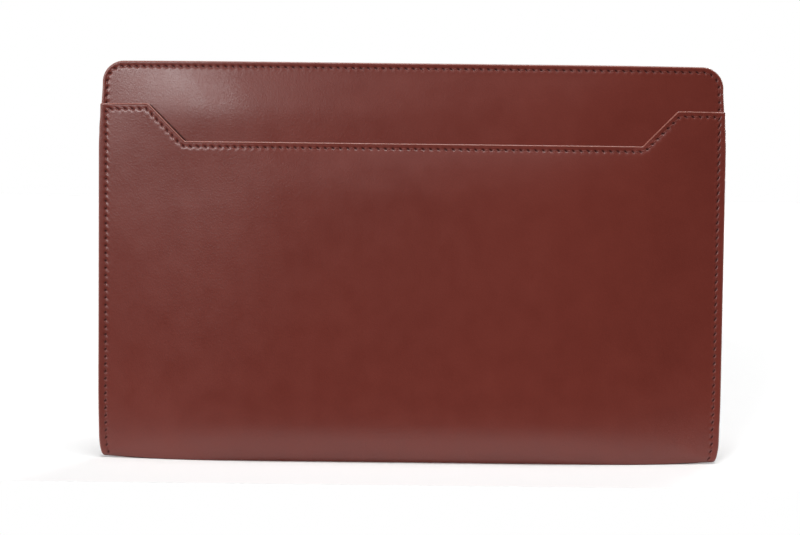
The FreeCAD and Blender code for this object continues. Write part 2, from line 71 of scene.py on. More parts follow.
# ---- outlines ----
TOP_CORNER_R = 12.0
TOP_HALF = HALF_WIDTH - 1.9
LOW_INSET = 0.6
LOW_INSET_Z = 40.0
LOW_CORNER_WIDE = 3.8
LOW_CORNER_HIGH = 13.0
PANEL_STEP_Z = (186, 203)
PANEL_TAPER = 0.7
PANEL_TAPER_Z = (198, 213)
POCKET_TAPER = 0.8
POCKET_TAPER_Z = (176, 198)
SHOULDER_X = 149.0
CUTOUT_X = 129.0
LIP_CORNER_R = 2.6
POCKET_CORNER_R = 0.9
PANEL_FOOT = 12.0

# ---- leather ----
LEATHER = 1.4
SEAM_OUTER = 1.5 * LEATHER
SEAM_MID = 0.5 * LEATHER
# (height, depth of the outer face) up the middle of each wall.
POCKET_FACE = [(0, 13.9), (22, 14.0), (45, 14.3), (80, 14.5), (120, 14.5), (200, 14.5)]
FRONT_FACE = [(0, 9.0), (60, 8.6), (120, 8.8), (160, 9.2), (180, 9.4), (190, 9.3), (200, 9.0), (208, 8.4),
              (214, 7.85), (219, 7.35), (222, 7.2), (225, 7.2)]
BACK_FACE = [(0, 13.5), (22, 13.6), (45, 14.1), (80, 14.5), (110, 14.3), (140, 13.3), (165, 11.8),
             (185, 10.2), (200, 9.0), (213, 8.1), (225, 7.2)]
# A wall rises from the side seam, at SEAM_START, over RAMP_LOW below RAMP_TURN_Z and RAMP_TOP at the mouth.
SEAM_START = 170.8
RAMP_LOW = 64.0
RAMP_TOP = 48.0
RAMP_TURN_Z = 150.0
RAMP_ROUND = 0.6
# The pocket puffs out over PUFF_LONG below its lip. SLACK is how far the lip stands off at SLACK_X.
PUFF_LONG = 30.0
SLACK = 1.08
SLACK_X = -124.0
SLACK_WIDE = 64.0
LIP_GAP = 0.12
LIP_EASE_IN = 14.0
LIP_EASE_OUT = 16.0
# The front panel leans back at the left of its mouth and has a soft fold at the right.
LEAN = 0.035
LEAN_X = 150.0
LEAN_Z = 208.0
LEAN_RISE_Z = (180.0, 200.0)
MOUTH_FOLD = 0.5
MOUTH_FOLD_X = 103.0
MOUTH_FOLD_Z = 205.0
MOUTH_FOLD_WIDE = 19.0
MOUTH_FOLD_HIGH = 26.0
WAVE = 0.12
# The base is flat in the middle and narrows to the side seams over BASE_RAMP.
BASE_RAMP = 62.0
BASE_HALF = 8.0
SEAM_BASE_HALF = 0.1
FOLD_Z = 22.0
SEAM_FOLD_Z = 2.0
CORNER_LIFT = 0.8

# ---- edges and stitches ----
RIM = 0.95
STITCH_MARGIN = 3.0
SIDE_STITCH_X = HALF_WIDTH - 4.1
PITCH = 4.2
STEP = 0.6
WIDE_ARC_STEPS = 32
SMALL_ARC_STEPS = 8
SMALLEST_R = 0.12
GROOVE = 0.2
GROOVE_WIDE = 1.1
SKIVE = 0.36
HOLE_DEPTH = 0.55
HOLE_LONG = 0.95
HOLE_WIDE = 0.5
HOLE_SLANT = math.radians(36)
RIB = 0.08
RIB_WIDE = 0.9
THREAD_R = 0.34
THREAD_SLANT = 0.42
THREAD_SINK = 0.36
THREAD_RISE = 0.3
THREAD_LIFT = 0.12
THREAD_FLAT = 0.85
THREAD_PLY = 0.10
THREAD_TWIST = 7.0

# ---- where the leather bends when the mouth or the pocket opens ----
BEND_IN = 64.0
BEND_LINES = (-BEND_IN, 0.0, BEND_IN)

# ---- rows and grid of the meshes ----
GRID = BEND_IN / 13
GRID_HIGH = 5.0
# (one point kept of this many, inset) for the rings between the last full one and the grid.
THINNED_RINGS = [(2, 13.0), (4, 15.5)]
CORE_INSET = 18.5
# Points down each bend line, so that no triangle there is long and thin.
LINE_DROPS = [1.5, 3.2, 5.2, 7.4]
RIM_TURNS = [0.0, 0.25, 0.45, 0.62, 0.78, 0.9, 1.0]
OUTER_RINGS = [1.1, 1.4, 1.75, 2.05, 2.3, 2.5, 2.67, 2.83, 3.0, 3.17, 3.33, 3.5, 3.7, 3.95, 4.25, 4.6, 5.0,
               5.4, 6.2, 7.4, 9.2, 11.5]
INNER_RINGS = [1.6, 2.9, 5.0, 8.0, 11.5]


# ---- shape of the walls ----
def smooth(value):
    t = np.clip(value, 0.0, 1.0)
    return t * t * (3 - 2 * t)


def rise(value, low, high):
    """0 up to low and 1 from high on, with a smooth rise between them."""
    return smooth((value - low) / (high - low))


def curve_through(table):
    """A smooth function through (place, value) pairs."""
    places = np.array([p for p, _ in table], float)
    values = np.array([v for _, v in table], float)
    slopes = np.gradient(values, places)

    def at(query):
        q = np.clip(query, places[0], places[-1])
        i = np.clip(np.searchsorted(places, q) - 1, 0, len(places) - 2)
        span = places[i + 1] - places[i]
        t = (q - places[i]) / span
        return ((2 * t ** 3 - 3 * t ** 2 + 1) * values[i] + (t ** 3 - 2 * t ** 2 + t) * span * slopes[i]
                + (3 * t ** 2 - 2 * t ** 3) * values[i + 1] + (t ** 3 - t ** 2) * span * slopes[i + 1])
    return at


pocket_profile = curve_through(POCKET_FACE)
front_profile = curve_through(FRONT_FACE)
back_profile = curve_through(BACK_FACE)


def fullness(x, z):
    """0 at a side seam and 1 where the case has its full thickness: a straight rise with a rounded end."""
    ramp = RAMP_LOW + (RAMP_TOP - RAMP_LOW) * rise(z, RAMP_TURN_Z, HEIGHT)
    t = np.clip((SEAM_START - np.abs(x)) / ramp, 0, 1 + RAMP_ROUND)
    return t - np.clip(t - 1 + RAMP_ROUND, 0, None) ** 2 / (4 * RAMP_ROUND)


def base_fullness(x):
    return np.sin(np.pi / 2 * np.clip((SEAM_START - np.abs(x)) / BASE_RAMP, 0, 1))


def unevenness(x, z, seed):
    """The small, slow waves of leather that has been handled."""
    broad = np.sin(x / 47.0 + seed) * np.sin(z / 39.0 + 2.1 * seed)
    slanted = 0.6 * np.sin(x / 23.0 - 1.7 * seed + z / 61.0)
    level = 0.35 * np.sin(z / 17.0 + x / 90.0 + seed)
    return WAVE * (broad + slanted + level)


def back_depth(x, z):
    return SEAM_OUTER + (back_profile(z) - SEAM_OUTER + unevenness(x, z, 4.1)) * fullness(x, z)


def front_depth(x, z):
    """The front panel. Its mouth has a soft fold at the right and leans back a little at the left."""
    across, up = (x - MOUTH_FOLD_X) / MOUTH_FOLD_WIDE, (z - MOUTH_FOLD_Z) / MOUTH_FOLD_HIGH
    fold = MOUTH_FOLD * np.exp(-across ** 2 - up ** 2)
    lean = LEAN * x / LEAN_X * (z - LEAN_Z) * rise(z, *LEAN_RISE_Z)
    full = front_profile(z) - SEAM_MID + unevenness(x, z, 2.3) + fold + lean
    return SEAM_MID + full * fullness(x, z)


def pocket_depth(x, z):
    """The pocket leather puffs out below its lip, and lies on the front panel along it."""
    loose = SEAM_OUTER + (pocket_profile(z) - SEAM_OUTER + unevenness(x, z, 0.6)) * fullness(x, z)
    resting = front_depth(x, z) + LEATHER + LIP_GAP
    slant = rise(np.abs(x), CUTOUT_X - LIP_EASE_IN, SHOULDER_X + LIP_EASE_OUT)
    lip = CUTOUT_Z + (SHOULDER_Z - CUTOUT_Z) * slant
    slack = SLACK * np.exp(-((x - SLACK_X) / SLACK_WIDE) ** 2)
    near = np.clip(1 - (lip - z - STITCH_MARGIN) / PUFF_LONG, 0, 1)
    return loose + (resting - loose) * (1 - slack) * near ** 2


def base_half(x):
    return SEAM_BASE_HALF + (BASE_HALF - SEAM_BASE_HALF) * base_fullness(x)


def base_z(x):
    return CORNER_LIFT * (1 - base_fullness(x)) ** 2


def fold_z(x):
    return SEAM_FOLD_Z + (FOLD_Z - SEAM_FOLD_Z) * base_fullness(x) + base_z(x)


def wrap_surface(wall_depth, side):
    """Points of the outer wrap: the wall above the fold, and the rounded fold down to the base at s = 0."""
    def at(x, s):
        fold = fold_z(x)
        low = base_z(x)
        turn = np.pi / 2 * np.clip(s / fold, 0, 1)
        half = base_half(x)
        on_fold = s < fold
        reach = wall_depth(x, fold) - half
        y = np.where(on_fold, half + reach * np.sin(turn), wall_depth(x, s))
        z = np.where(on_fold, low + (fold - low) * (1 - np.cos(turn)), s)
        return np.stack([x, side * y, z], -1)
    return at


def plain_surface(wall_depth, side):
    def at(x, s):
        return np.stack([x, side * wall_depth(x, s), s + 0 * x], -1)
    return at


def outward(surface, x, s, side):
    """Unit normals of a surface, pointing out of the case."""
    step = 0.05
    along = surface(x + step, s) - surface(x - step, s)
    up = surface(x, s + step) - surface(x, np.maximum(s - step, 0))
    normal = np.cross(along, up) if side < 0 else np.cross(up, along)
    return normal / np.maximum(np.linalg.norm(normal, axis=1, keepdims=True), 1e-12)


# ---- outlines on (x, s) ----
def panel_half(s):
    """Half the width of the front and back panels at height s."""
    s = np.asarray(s, float)
    low = LOW_INSET * smooth((LOW_INSET_Z - s) / LOW_INSET_Z)
    step = (HALF_WIDTH - TOP_HALF - PANEL_TAPER) * rise(s, *PANEL_STEP_Z)
    taper = PANEL_TAPER * rise(s, *PANEL_TAPER_Z)
    return HALF_WIDTH - low - step - taper - corner_inset(s)


def pocket_half(s):
    s = np.asarray(s, float)
    low = LOW_INSET * smooth((LOW_INSET_Z - s) / LOW_INSET_Z)
    return HALF_WIDTH - low - POCKET_TAPER * rise(s, *POCKET_TAPER_Z) - corner_inset(s)


def corner_inset(s):
    """How far the rounded lower corner has drawn the side edge in at s."""
    below = np.clip(1 - np.asarray(s, float) / LOW_CORNER_HIGH, 0, 1)
    return LOW_CORNER_WIDE * (1 - np.sqrt(1 - below ** 2))


def meet(p, u, q, v):
    """Where the line through p along u meets the line through q along v."""
    cross = u[0] * v[1] - u[1] * v[0]
    t = ((q[0] - p[0]) * v[1] - (q[1] - p[1]) * v[0]) / cross
    return p + u * t


class Outline:
    """A sheet's edge from its foot up the left side, over the top and down the right side. ring(inset) is
    the same line moved in by inset, always with the same number of points."""

    def __init__(self, half, foot, corners):
        self.half = half
        self.foot = foot
        self.corners = corners
        self.counts = None
        self.ring(0.0)

    def side_inset(self, s, inset):
        """How far a ring runs inside the side edge at s. It keeps the stitch line on SIDE_STITCH_X."""
        margin = np.clip(self.half(s) - SIDE_STITCH_X, STITCH_MARGIN - 0.4, HALF_WIDTH - SIDE_STITCH_X)
        margin = np.where(s < LOW_INSET_Z, HALF_WIDTH - SIDE_STITCH_X, margin)
        return inset + (margin - STITCH_MARGIN) * rise(inset, RIM, STITCH_MARGIN - 0.7)

    def corner_arcs(self, inset):
        points = [np.array(c[:2], float) for c in self.corners]
        side = float(self.side_inset(points[0][1], inset))
        lines = [(points[0] + (side, 0), np.array((0.0, 1.0)))]
        for a, b in zip(points, points[1:]):
            along = (b - a) / np.linalg.norm(b - a)
            lines.append((a + np.array((along[1], -along[0])) * inset, along))
        lines.append((points[-1] - (side, 0), np.array((0.0, -1.0))))
        arcs = []
        for i, (_, _, radius) in enumerate(self.corners):
            p, u = lines[i]
            q, v = lines[i + 1]
            corner = meet(p, u, q, v)
            turn = u[0] * v[1] - u[1] * v[0]
            bend = math.acos(np.clip(u @ v, -1, 1))
            rounded = max(radius - inset, SMALLEST_R) if turn < 0 else radius + inset
            reach = rounded * math.tan(bend / 2)
            steps = WIDE_ARC_STEPS if radius == TOP_CORNER_R else SMALL_ARC_STEPS
            start = corner - u * reach
            normal = np.array((u[1], -u[0])) * (1 if turn < 0 else -1)
            centre = start + normal * rounded
            angles = np.linspace(0, bend, steps + 1) * (-1 if turn < 0 else 1)
            spoke = start - centre
            arcs.append(np.stack([centre[0] + spoke[0] * np.cos(angles) - spoke[1] * np.sin(angles),
                                  centre[1] + spoke[0] * np.sin(angles) + spoke[1] * np.cos(angles)], 1))
        return arcs

    def ring(self, inset):
        arcs = self.corner_arcs(inset)
        first_run = self.counts is None
        counts = [] if first_run else list(self.counts)

        def count(length):
            if first_run:
                counts.append(max(2, round(length / STEP)))
                return counts[-1]
            return counts.pop(0)

        top = arcs[0][0][1]
        n = count(top - self.foot)
        s = self.foot + (top - self.foot) * np.arange(n) / n
        pieces = [np.stack([-(self.half(s) - self.side_inset(s, inset)), s], 1), arcs[0]]
        for arc, following in zip(arcs, arcs[1:]):
            start, end = arc[-1], following[0]
            marks = [start]
            if abs(start[1] - end[1]) < 1e-6:
                marks += [np.array((x, start[1])) for x in BEND_LINES if start[0] < x < end[0]]
            marks.append(end)
            for j, (a, b) in enumerate(zip(marks, marks[1:])):
                n = count(np.linalg.norm(b - a))
                t = (np.arange(1, n) if j == 0 else np.arange(0, n))[:, None] / n
                pieces.append(a + (b - a) * t)
            pieces.append(following)
        n = count(top - self.foot)
        s = self.foot + (top - self.foot) * np.arange(n - 1, -1, -1) / n
        pieces.append(np.stack([self.half(s) - self.side_inset(s, inset), s], 1))
        if first_run:
            self.counts = counts
        return np.concatenate(pieces)


# Corners are (x, s, radius). The left end of the pocket's lip was cut a little higher and further in.
PANEL_CORNERS = [(-TOP_HALF, HEIGHT, TOP_CORNER_R), (TOP_HALF, HEIGHT, TOP_CORNER_R)]
LEFT_SHOULDER_Z = SHOULDER_Z + 1.0
POCKET_TOP_HALF = HALF_WIDTH - POCKET_TAPER
POCKET_CORNERS = [(-POCKET_TOP_HALF, LEFT_SHOULDER_Z, POCKET_CORNER_R),
                  (0.6 - SHOULDER_X, LEFT_SHOULDER_Z, LIP_CORNER_R),
                  (1.6 - CUTOUT_X, CUTOUT_Z, LIP_CORNER_R),
                  (CUTOUT_X, CUTOUT_Z, LIP_CORNER_R),
                  (SHOULDER_X, SHOULDER_Z, LIP_CORNER_R),
                  (POCKET_TOP_HALF, SHOULDER_Z, POCKET_CORNER_R)]
front_outline = Outline(panel_half, PANEL_FOOT, PANEL_CORNERS)
back_outline = Outline(panel_half, 0.0, PANEL_CORNERS)
pocket_outline = Outline(pocket_half, 0.0, POCKET_CORNERS)


def run_length(points):
    return np.concatenate([[0.0], np.cumsum(np.linalg.norm(np.diff(points, axis=0), axis=1))])


def stitch_pitch(outline):
    """Pitch that fits a whole number of stitches on the outline's stitch line."""
    total = run_length(outline.ring(STITCH_MARGIN))[-1]
    return total / round(total / PITCH)


def stitch_relief(outline, inset, lengths, x):
    """(displacement, share of a hole) of the leather at each point of a ring. The pocket's lip is skived,
    which means thinned towards its edge."""
    pitch = stitch_pitch(outline)
    across = inset - STITCH_MARGIN
    drop = -GROOVE * math.exp(-(across / GROOVE_WIDE) ** 2)
    if outline is pocket_outline and across < 0:
        on_top = (lengths > HEIGHT / 2) * (lengths < lengths[-1] - HEIGHT / 2)
        lip = smooth((HALF_WIDTH - 6 - np.abs(x)) / 4) * on_top
        drop = drop + SKIVE * lip * across / STITCH_MARGIN
    along = lengths - np.round(lengths / pitch) * pitch
    u = along * math.cos(HOLE_SLANT) + across * math.sin(HOLE_SLANT)
    w = -along * math.sin(HOLE_SLANT) + across * math.cos(HOLE_SLANT)
    hole = np.exp(-(u / HOLE_LONG) ** 2 - (w / HOLE_WIDE) ** 2)
    rib = RIB * np.cos(2 * np.pi * along / pitch) * math.exp(-((across - RIB_WIDE) / RIB_WIDE) ** 2)
    return drop - HOLE_DEPTH * hole - rib, hole


# ---- meshes ----
def turn_angles(count):
    return np.linspace(0, 2 * np.pi, count, endpoint=False)


def squared(value):
    """Draws a cosine or sine out towards 1 and -1, which makes a circle into a rounded square."""
    return np.sign(value) * np.abs(value) ** 0.55


class Soup:
    """Vertices with their attributes, and faces, gathered from several pieces of surface."""

    def __init__(self):
        self.points = []
        self.edge = []
        self.hole = []
        self.faces = []
        self.total = 0

    def add(self, points, edge=0.0, hole=0.0):
        first = self.total
        n = len(points)
        self.points.append(np.asarray(points, float))
        self.edge.append(np.broadcast_to(edge, n).astype(float))
        self.hole.append(np.broadcast_to(hole, n).astype(float))
        self.total += n
        return np.arange(first, first + n)

    def strip(self, lower, upper, flip=False, closed=False):
        """Quads between two rows of vertices."""
        a, b = (upper, lower) if flip else (lower, upper)
        last = len(a) if closed else len(a) - 1
        for i in range(last):
            j = (i + 1) % len(a)
            self.faces.append((int(a[i]), int(a[j]), int(b[j]), int(b[i])))

    def strips(self, rows, flip):
        for a, b in zip(rows, rows[1:]):
            self.strip(a, b, flip)

    def tube(self, rows, flip=False):
        """A closed solid: quads round the rows, and a face over the first and the last."""
        for a, b in zip(rows, rows[1:]):
            self.strip(a, b, flip, closed=True)
        for row, turned in ((rows[0], not flip), (rows[-1], flip)):
            self.faces.append(tuple(int(v) for v in (row[::-1] if turned else row)))

    def arrays(self):
        return np.concatenate(self.points), np.concatenate(self.edge), np.concatenate(self.hole)


def vertex_normals(points, faces):
    """Area-weighted vertex normals."""
    normals = np.zeros_like(points)
    for size in {len(f) for f in faces}:
        group = np.array([f for f in faces if len(f) == size])
        corners = points[group]
        if size == 4:
            area = np.cross(corners[:, 2] - corners[:, 0], corners[:, 3] - corners[:, 1])
        else:
            area = np.cross(corners[:, 1] - corners[:, 0], corners[:, 2] - corners[:, 0])
        for k in range(size):
            np.add.at(normals, group[:, k], area)
    return normals / np.maximum(np.linalg.norm(normals, axis=1, keepdims=True), 1e-12)


def add_object(name, data):
    made = bpy.data.objects.new(name, data)
    bpy.context.scene.collection.objects.link(made)
    return made


def make_object(name, points, faces, material, normals, attributes):
    mesh = bpy.data.meshes.new(name)
    mesh.from_pydata((points * MM).tolist(), [], faces)
    mesh.shade_smooth()
    for key, values in attributes.items():
        mesh.attributes.new(key, "FLOAT", "POINT").data.foreach_set("value", values.astype(np.float32))
    mesh.materials.append(material)
    mesh.normals_split_custom_set_from_vertices(normals.tolist())
    return add_object(name, mesh)


def split(name, soup, material, parts):
    """One object for each (suffix, test) of parts. test takes the x and z of face centres; every face goes
    to the first part that takes it, and keeps the normals of the whole surface."""
    points, edge, hole = soup.arrays()
    faces = soup.faces
    normals = vertex_normals(points, faces)
    centres = np.array([points[list(f)].mean(axis=0) for f in faces])
    free = np.ones(len(faces), bool)
    made = {}
    for suffix, test in parts:
        chosen = free & test(centres[:, 0], centres[:, 2])
        free &= ~chosen
        used = [faces[i] for i in np.flatnonzero(chosen)]
        ids = np.unique(np.concatenate([np.array(f) for f in used]))
        renumber = {int(old): new for new, old in enumerate(ids)}
        local = [tuple(renumber[v] for v in f) for f in used]
        made[suffix] = make_object(name + suffix, points[ids], local, material, normals[ids],
                                   {"edge": edge[ids], "hole": hole[ids]})
    return made


def inside_loop(points, loop):
    """True for points inside a closed loop."""
    x, z = points[:, 0], points[:, 1]
    inside = np.zeros(len(points), bool)
    for (x0, z0), (x1, z1) in zip(loop, np.roll(loop, -1, axis=0)):
        crosses = (z0 > z) != (z1 > z)
        with np.errstate(divide="ignore", invalid="ignore"):
            inside ^= crosses & (x < (x1 - x0) * (z - z0) / (z1 - z0) + x0)
    return inside


def fill(outline, ring, bends, hinge):
    """(points, triangles) that fill a sheet inside its last ring. The ring's points come first."""
    foot = outline.foot
    xs = np.arange(-40, 41) * GRID
    left, right = ring[0][0] + GRID / 2, ring[-1][0] - GRID / 2
    on_foot = [(float(x), foot) for x in xs[::-1] if left < x < right]
    loop = np.concatenate([ring, np.array(on_foot)])
    points = [tuple(p) for p in loop]
    n = len(points)
    edges = [(i, (i + 1) % n) for i in range(n)]
    for share, inset in THINNED_RINGS:
        points += [tuple(p) for p in outline.ring(inset)[::share] if foot + 2 < p[1]]
    core = outline.ring(CORE_INSET)
    core_loop = np.concatenate([core, core[-1:] * (1, 0) + (0, foot), core[:1] * (1, 0) + (0, foot)])
    zs = HINGE_S + np.arange(-6, 50) * GRID_HIGH
    zs = zs[zs > foot + 2]
    grid = np.array([(x, z) for z in zs for x in xs])
    points += [tuple(p) for p in grid[inside_loop(grid, core_loop)]]
    if bends:
        for x in BEND_LINES:
            top = int(np.argmin(np.abs(ring[:, 0] - x) + (ring[:, 1] < foot + 50) * 1e3))
            points += [(x, ring[top, 1] - drop) for drop in LINE_DROPS]
            bottom = int(np.argmin([abs(p[0] - x) + abs(p[1] - foot) * 1e3 for p in points[:n]]))
            edges.append((bottom, top))
    if hinge:
        points += [(-BEND_IN, HINGE_S), (BEND_IN, HINGE_S)]
        edges.append((len(points) - 2, len(points) - 1))
    out = delaunay_2d_cdt([Vector(p) for p in points], edges, [], 1, 1e-4)
    verts = np.array([tuple(v) for v in out[0]])
    source = {}
    for new, olds in enumerate(out[3]):
        for old in olds:
            source[old] = new
    order = [source[i] for i in range(len(ring))]
    rest = [i for i in range(len(verts)) if i not in set(order)]
    number = {old: new for new, old in enumerate(order + rest)}
    triangles = [tuple(number[v] for v in f) for f in out[2]]
    return verts[order + rest], triangles


def add_sheet(soup, surface, outline, side, hinge=False):
    """A sheet of leather with a rounded rim, a stitched margin and an inner face. Returns the vertices
    along the foot of its outer face."""
    stitch_run = run_length(outline.ring(STITCH_MARGIN))
    half = LEATHER / 2

    def row(inset, lift, edge, relief):
        ring = outline.ring(inset)
        x, s = ring[:, 0], ring[:, 1]
        normal = outward(surface, x, s, side)
        shift, hole = stitch_relief(outline, inset, stitch_run, x) if relief else (0.0, 0.0)
        fade = rise(inset, 0.3, 1.1)
        points = surface(x, s) + normal * (lift + shift * fade + np.zeros(len(x)))[:, None]
        return soup.add(points, edge, hole)

    flip = side > 0
    outer = []
    for t in RIM_TURNS:
        angle = t * math.pi / 2
        outer.append(row(RIM * (1 - math.cos(angle)), -half * (1 - math.sin(angle)), 1 - t ** 3, True))
    for inset in OUTER_RINGS:
        outer.append(row(inset, 0.0, 0.0, True))
    inner = [outer[0]]
    for t in RIM_TURNS[1:]:
        angle = t * math.pi / 2
        inner.append(row(RIM * (1 - math.cos(angle)), -half * (1 + math.sin(angle)), 1 - t ** 3, False))
    for inset in INNER_RINGS:
        inner.append(row(inset, -LEATHER, 0.0, False))
    soup.strips(outer, flip)
    soup.strips(inner, not flip)
    feet = []
    for rows, lift, turned in ((outer, 0.0, flip), (inner, -LEATHER, not flip)):
        ring = outline.ring(OUTER_RINGS[-1])
        flat, triangles = fill(outline, ring, hinge or outline is front_outline, hinge)
        count = len(ring)
        x, s = flat[count:, 0], flat[count:, 1]
        new = soup.add(surface(x, s) + outward(surface, x, s, side) * lift)
        ids = np.concatenate([rows[-1], new])
        for tri in triangles:
            a, b, c = (int(ids[v]) for v in tri)
            soup.faces.append((a, b, c) if turned else (a, c, b))
        on_foot = sorted((float(flat[i, 0]), int(ids[i])) for i in range(count, len(flat))
                         if abs(flat[i, 1] - outline.foot) < 1e-6)
        left = [int(r[0]) for r in rows]
        right = [int(r[-1]) for r in rows][::-1]
        feet.append(left + [v for _, v in on_foot] + right)
    outer_foot, inner_foot = feet
    soup.strip(outer_foot[len(outer):-len(outer)], inner_foot[len(inner):-len(inner)], flip)
    return outer_foot


# ---- node materials ----
class Nodes:
    """Short calls that add nodes to a material."""

    def __init__(self, name):
        self.material = bpy.data.materials.new(name)
        self.material.use_nodes = True
        self.tree = self.material.node_tree
        self.tree.nodes.clear()
        self.shader = self.tree.nodes.new("ShaderNodeBsdfPrincipled")
        out = self.tree.nodes.new("ShaderNodeOutputMaterial")
        self.link(self.shader.outputs[0], out.inputs[0])
        self.place = self.tree.nodes.new("ShaderNodeTexCoord").outputs["Object"]

    def link(self, a, b):
        self.tree.links.new(a, b)

    def feed(self, socket, value):
        """Links an output to a socket, or sets the socket to a number or a colour."""
        if isinstance(value, bpy.types.NodeSocket):
            self.link(value, socket)
        elif socket.type == "RGBA":
            socket.default_value = (*value, 1.0)
        else:
            socket.default_value = value

    def set(self, node, **values):
        for key, value in values.items():
            self.feed(node.inputs[key.replace("_", " ")], value)

    def noise(self, scale, detail=3.0, rough=0.5, vector=None):
        node = self.tree.nodes.new("ShaderNodeTexNoise")
        self.set(node, Vector=vector or self.place, Scale=scale, Detail=detail, Roughness=rough)
        return node.outputs["Fac"]

    def cells(self, scale, feature="F1"):
        node = self.tree.nodes.new("ShaderNodeTexVoronoi")
        node.feature = feature
        self.set(node, Vector=self.place, Scale=scale)
        return node.outputs["Distance"]

    def stretched(self, x, y, z):
        node = self.tree.nodes.new("ShaderNodeMapping")
        self.set(node, Vector=self.place, Scale=(x, y, z))
        return node.outputs[0]

    def attribute(self, name):
        node = self.tree.nodes.new("ShaderNodeAttribute")
        node.attribute_name = name
        return node.outputs["Fac"]

    def math(self, kind, a, b=0.0):
        node = self.tree.nodes.new("ShaderNodeMath")
        node.operation = kind
        self.feed(node.inputs[0], a)
        self.feed(node.inputs[1], b)
        return node.outputs[0]

    def remap(self, value, low, high, to_low=0.0, to_high=1.0):
        node = self.tree.nodes.new("ShaderNodeMapRange")
        self.link(value, node.inputs["Value"])
        for key, number in (("From Min", low), ("From Max", high), ("To Min", to_low), ("To Max", to_high)):
            node.inputs[key].default_value = number
        return node.outputs[0]

    def mix(self, share, a, b):
        node = self.tree.nodes.new("ShaderNodeMix")
        node.data_type = "RGBA"
        self.feed(node.inputs[0], share)
        self.feed(node.inputs[6], a)
        self.feed(node.inputs[7], b)
        return node.outputs[2]

    def bump(self, height, distance, strength=1.0, normal=None):
        node = self.tree.nodes.new("ShaderNodeBump")
        self.set(node, Height=height, Distance=distance, Strength=strength)
        if normal:
            self.link(normal, node.inputs["Normal"])
        return node.outputs[0]


# ---- colours and materials ----
LEATHER_MID = (0.100, 0.0150, 0.0095)
LEATHER_DARK = (0.074, 0.0102, 0.0066)
LEATHER_LIGHT = (0.128, 0.0215, 0.0138)
LEATHER_WORN = (0.235, 0.082, 0.060)
# Rim colour: partly the edge finish, partly a painted highlight where the rounded edge catches light.
EDGE_FINISH_AND_HIGHLIGHT = (0.200, 0.0700, 0.0540)
# Near black for the stitch holes: painted shade inside them.
HOLE_PAINTED_SHADE = (0.030, 0.0030, 0.0024)
THREAD_DARK = (0.075, 0.0130, 0.0090)
THREAD_LIGHT = (0.125, 0.0270, 0.0190)
LINING_LIGHT = (0.060, 0.040, 0.032)
LINING_DARK = (0.022, 0.014, 0.012)
TAPE_LIGHT = (0.060, 0.018, 0.014)
TAPE_DARK = (0.020, 0.006, 0.005)
BRASS_BRIGHT = (0.56, 0.40, 0.20)
BRASS_DULL = (0.22, 0.14, 0.07)
BOARD_DARK = (0.16, 0.12, 0.09)
BOARD_LIGHT = (0.28, 0.22, 0.17)
FLOOR_COLOUR = (0.93, 0.93, 0.93)
LINING_PITCH = 0.0006
TAPE_PITCH = 0.0007
LEATHER_IOR = 1.6


def leather_material():
    n = Nodes("leather")
    broad = n.noise(9.0, 3.0, 0.55)
    medium = n.noise(75.0, 4.0, 0.6)
    mottle = n.noise(1100.0, 2.0, 0.6)
    fine = n.noise(1900.0, 2.0, 0.5)
    tone = n.math("ADD", n.math("MULTIPLY", broad, 0.55), n.math("MULTIPLY", medium, 0.45))
    colour = n.mix(n.remap(tone, 0.3, 0.7), LEATHER_DARK, LEATHER_LIGHT)
    colour = n.mix(0.62, colour, LEATHER_MID)
    colour = n.mix(n.remap(mottle, 0.5, 0.72, 0.0, 0.22), colour, LEATHER_DARK)
    colour = n.mix(n.remap(mottle, 0.5, 0.28, 0.0, 0.20), colour, LEATHER_LIGHT)
    specks = n.remap(n.cells(210.0), 0.0, 0.045, 0.55, 0.0)
    sparse = n.remap(n.noise(38.0, 1.0), 0.63, 0.68)
    colour = n.mix(n.math("MULTIPLY", specks, sparse), colour, LEATHER_WORN)
    scratch_lines = n.noise(22.0, 1.0, 0.4, n.stretched(1.0, 1.0, 12.0))
    off_line = n.math("ABSOLUTE", n.math("SUBTRACT", scratch_lines, 0.5))
    here = n.remap(n.noise(17.0, 1.0), 0.62, 0.7)
    scratches = n.math("MULTIPLY", n.remap(off_line, 0.0, 0.0022, 1.0, 0.0), here)
    colour = n.mix(n.math("MULTIPLY", scratches, 0.12), colour, LEATHER_WORN)
    edge = n.attribute("edge")
    hole = n.attribute("hole")
    wear = n.math("MULTIPLY", n.remap(n.noise(420.0, 3.0), 0.5, 0.66), n.remap(edge, 0.05, 0.45))
    # The rim takes a lighter colour: partly its edge finish, partly a painted highlight along the rounded
    # edge.
    colour = n.mix(n.remap(edge, 0.3, 0.8), colour, EDGE_FINISH_AND_HIGHLIGHT)
    colour = n.mix(n.math("MULTIPLY", wear, 0.3), colour, LEATHER_WORN)
    # Stitch holes are painted near black: painted shade in the recesses.
    colour = n.mix(n.remap(hole, 0.1, 0.6, 0.0, 0.97), colour, HOLE_PAINTED_SHADE)
    rough = n.remap(medium, 0.3, 0.7, 0.30, 0.36)
    rough = n.math("ADD", rough, n.remap(hole, 0.1, 0.6, 0.0, 0.6))
    grain = n.cells(2300.0, "SMOOTH_F1")
    creases = n.noise(1000.0, 2.0, 0.6)
    surface = n.math("ADD", n.math("MULTIPLY", grain, 0.5), n.math("MULTIPLY", fine, 0.6))
    soft = n.bump(n.noise(240.0, 3.0), 0.00006, 0.5)
    pebbled = n.bump(creases, 0.00009, 0.7, soft)
    normal = n.bump(surface, 0.00003, 0.6, pebbled)
    n.set(n.shader, Base_Color=colour, Roughness=rough, Normal=normal)
    n.shader.inputs["IOR"].default_value = LEATHER_IOR
    return n.material


def thread_material():
    n = Nodes("waxed_thread")
    ply = n.noise(900.0, 2.0, 0.5)
    colour = n.mix(n.remap(ply, 0.3, 0.7), THREAD_DARK, THREAD_LIGHT)
    fibres = n.noise(2600.0, 2.0, 0.6)
    n.set(n.shader, Base_Color=colour, Roughness=n.remap(fibres, 0.3, 0.7, 0.5, 0.66),
          Normal=n.bump(fibres, 0.00005, 0.7))
    return n.material


